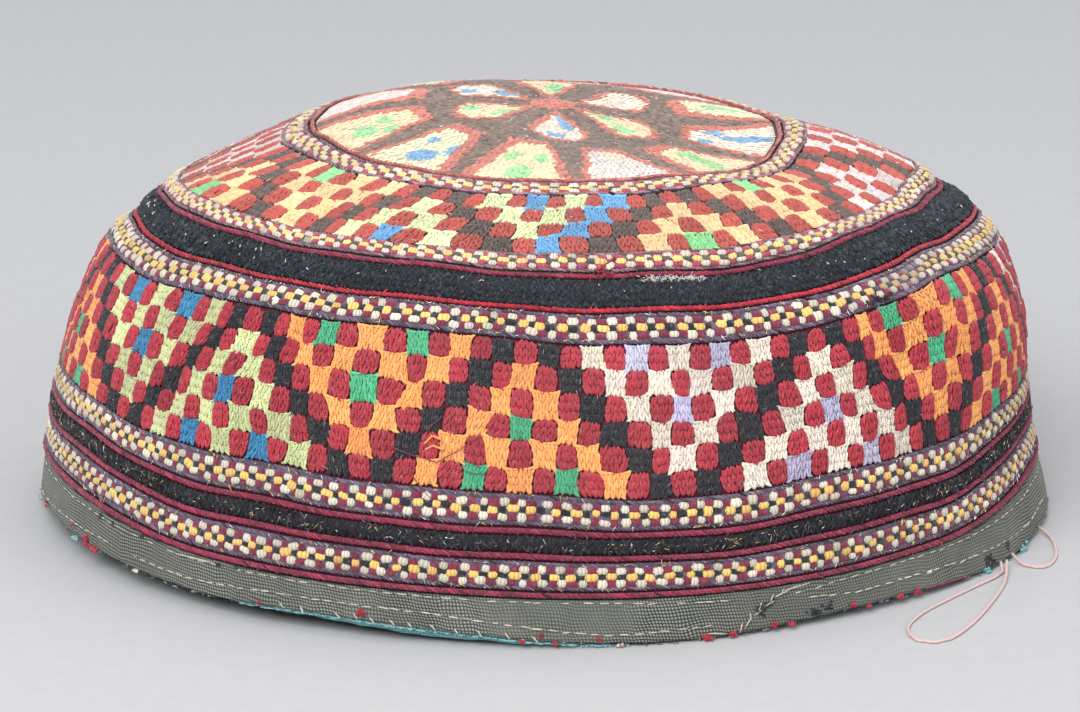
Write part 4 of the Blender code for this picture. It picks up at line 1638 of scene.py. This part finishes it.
def tuft(stitches, dice, where, share, spread, long, count, colour):
    """A bunch of short threads that come out of one place and lie down the hem."""
    degree = math.degrees(1 / RIM_RADIUS)
    dark = sum(colour) < 0.3
    spread = spread if dark else spread * 0.7
    turn = where + dice.normal(0, spread, count) * degree
    start = share + dice.normal(0, spread / HEM_HEIGHT, count)
    size = long * dice.uniform(0.4, 0.7, count)
    way = dice.normal(0.55, 0.9 if dark else 0.15, count)
    end_turn = turn + np.sin(way) * size * degree
    end = np.minimum(start + np.cos(way) * size / HEM_HEIGHT, 0.99)
    lift = dice.uniform(0.0001, 0.0002 if dark else 0.0007, count)
    wide = 0.0005 if dark else 0.00085
    on_hem(stitches, turn, np.minimum(start, 0.95), end_turn, end, lift, wide, colour)


def edge_fuzz(stitches, dice, turn, share, colour):
    """Short frayed ends along the very edge of the cloth."""
    count = len(turn)
    share = share + dice.normal(0, 0.02, count)
    over = dice.normal(0, 0.45, count)
    down = dice.uniform(-0.03, 0.06, count)
    end = np.minimum(share + down, 1.0)
    lift = dice.uniform(-0.0012, 0.0003, count)
    on_hem(stitches, turn, np.minimum(share, 0.995), turn + over, end, lift, 0.00028, colour)


def lay_loose_threads():
    """Two pinkish threads that hang out of the rim and lie on the floor."""
    dyes = bpy.context.scene.skullcap_dyes
    finish = Finish("loose_thread", 0.8, 0.3)
    fibres = finish.noise(2400.0, 3.0)
    x, y, _ = finish.axes(finish.place)
    twist = ((x + y * 1.7) * 9000.0 + fibres * 3.0).sine()
    shade = 0.80 + fibres * 0.25 + twist * 0.10
    finish.colour(finish.scaled(tuple(dyes.pink), shade))
    finish.bump(twist + fibres, 0.6, 0.0001)
    for name, route in (("loop_thread", LOOP_THREAD), ("side_thread", SIDE_THREAD)):
        points, measure = smooth_route(np.array(route), THREAD_POINTS)
        curve = bpy.data.curves.new(name, "CURVE")
        curve.dimensions = "3D"
        curve.bevel_depth = THREAD_DIAMETER / 2
        curve.bevel_resolution = 2
        curve.use_fill_caps = True
        spline = curve.splines.new("POLY")
        spline.points.add(len(points) - 1)
        for point, place in zip(spline.points, points):
            point.co = (*place, 1.0)
        curve.materials.append(finish.material)
        thread = linked(name, curve)
        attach(thread, "root")


def smooth_route(knots, count):
    """Points evenly spaced on a smooth curve through the knots, and its length."""
    ends = [knots[0] * 2 - knots[1], *knots, knots[-1] * 2 - knots[-2]]
    points, runs = curve_through(ends, 20)
    places = np.linspace(0, runs[-1], count)
    found = np.stack([np.interp(places, runs, points[:, k]) for k in range(3)], axis=-1)
    return found, runs[-1]


def make_stage():
    stage = bpy.context.scene.skullcap_stage
    bm = bmesh.new()
    bmesh.ops.create_grid(bm, x_segments=2, y_segments=2, size=stage.floor / 2)
    mesh = bpy.data.meshes.new("floor")
    bm.to_mesh(mesh)
    bm.free()
    finish = Finish("floor_paper", 0.9)
    grain = finish.noise(300.0, 3.0)
    finish.colour(finish.mix(grain, (0.47, 0.47, 0.48, 1.0), (0.52, 0.52, 0.53, 1.0)))
    mesh.materials.append(finish.material)
    linked("floor", mesh)
    for name, power, size, place, aim in (
        ("key_light", stage.key, 0.9, (-0.40, -1.05, 0.95), (0, 0, 0.03)),
        ("top_light", stage.key * 0.22, 0.9, (0.15, 0.25, 1.2), (0, 0, 0.05)),
        ("fill_light", stage.fill, 1.2, (1.1, -0.9, 0.6), (0, 0, 0.03)),
    ):
        light = bpy.data.lights.new(name, "AREA")
        light.energy = power
        light.size = size
        lamp = linked(name, light)
        lamp.location = place
        way = lamp.location - type(lamp.location)(aim)
        lamp.rotation_euler = way.to_track_quat("Z", "Y").to_euler()
    world = bpy.data.worlds.new("even_light")
    world.use_nodes = True
    back = world.node_tree.nodes["Background"]
    back.inputs[0].default_value = (0.95, 0.97, 1.0, 1.0)
    back.inputs[1].default_value = stage.sky
    bpy.context.scene.world = world
    bpy.context.scene.view_settings.view_transform = "Standard"
    camera = bpy.data.cameras.new("camera")
    camera.lens = CAMERA_LENS
    camera.sensor_width = 36.0
    camera.clip_end = 20.0
    eye = linked("camera", camera)
    eye.location = (0.0, -CAMERA_DISTANCE, CAMERA_HEIGHT)
    eye.rotation_euler = (math.radians(90.0 - CAMERA_PITCH), 0.0, 0.0)
    bpy.context.scene.camera = eye


def operator(key, label, text, *steps):
    """An operator that runs the steps of one piece or group of pieces."""

    def execute(self, context):
        for step in steps:
            step()
        return {"FINISHED"}

    body = {
        "__doc__": text,
        "bl_idname": f"skullcap.{key}",
        "bl_label": label,
        "bl_options": {"REGISTER", "UNDO"},
        "execute": execute,
    }
    return type(f"SKULLCAP_OT_{key}", (bpy.types.Operator,), body)


OPERATORS = (
    operator("stage", "Stage", "Set the floor, the lights and the camera", make_stage),
    operator("threads", "Loose Threads", "Lay the loose threads on the floor", lay_loose_threads),
    operator("ground", "Ground Cloth", "Lay crown and side cloth", make_materials, lay_ground),
    operator("side_cells", "Side Cells", "Stitch the zigzag of the side", lay_side_cells),
    operator("crown_cells", "Crown Cells", "Stitch the ring of the crown", lay_crown_cells),
    operator("medallion", "Medallion", "Stitch the medallion", lay_medallion),
    operator("braids", "Braids", "Lay the checked braids", lay_braids),
    operator("cords", "Cords", "Lay the crimson cords", lay_cords),
    operator("roll", "Roll and Stripe", "Stitch the roll and the stripe", lay_roll, lay_stripe),
    operator("hem", "Hem", "Bind the rim", lay_hem, lay_lining, lay_hem_stitches),
)


class SKULLCAP_PT_panel(bpy.types.Panel):
    """Buttons for each group of pieces."""

    bl_label = "Skullcap"
    bl_idname = "SKULLCAP_PT_panel"
    bl_space_type = "VIEW_3D"
    bl_region_type = "UI"
    bl_category = "Skullcap"

    def draw(self, context):
        for maker in OPERATORS:
            self.layout.operator(maker.bl_idname)
        for group in GROUPS:
            box = self.layout.box()
            for key in group.__annotations__:
                box.prop(getattr(context.scene, GROUPS[group]), key)


GROUPS = {
    SkullcapDyes: "skullcap_dyes",
    SkullcapCrownDyes: "skullcap_crown_dyes",
    SkullcapSizes: "skullcap_sizes",
    SkullcapStage: "skullcap_stage",
}


def register():
    for group, key in GROUPS.items():
        bpy.utils.register_class(group)
        setattr(bpy.types.Scene, key, PointerProperty(type=group))
    for maker in (*OPERATORS, SKULLCAP_PT_panel):
        bpy.utils.register_class(maker)


def unregister():
    for maker in (SKULLCAP_PT_panel, *reversed(OPERATORS)):
        bpy.utils.unregister_class(maker)
    for group, key in GROUPS.items():
        delattr(bpy.types.Scene, key)
        bpy.utils.unregister_class(group)


def main():
    register()
    for maker in OPERATORS:
        getattr(bpy.ops.skullcap, maker.bl_idname.split(".")[1])()


if __name__ == "__main__":
    main()
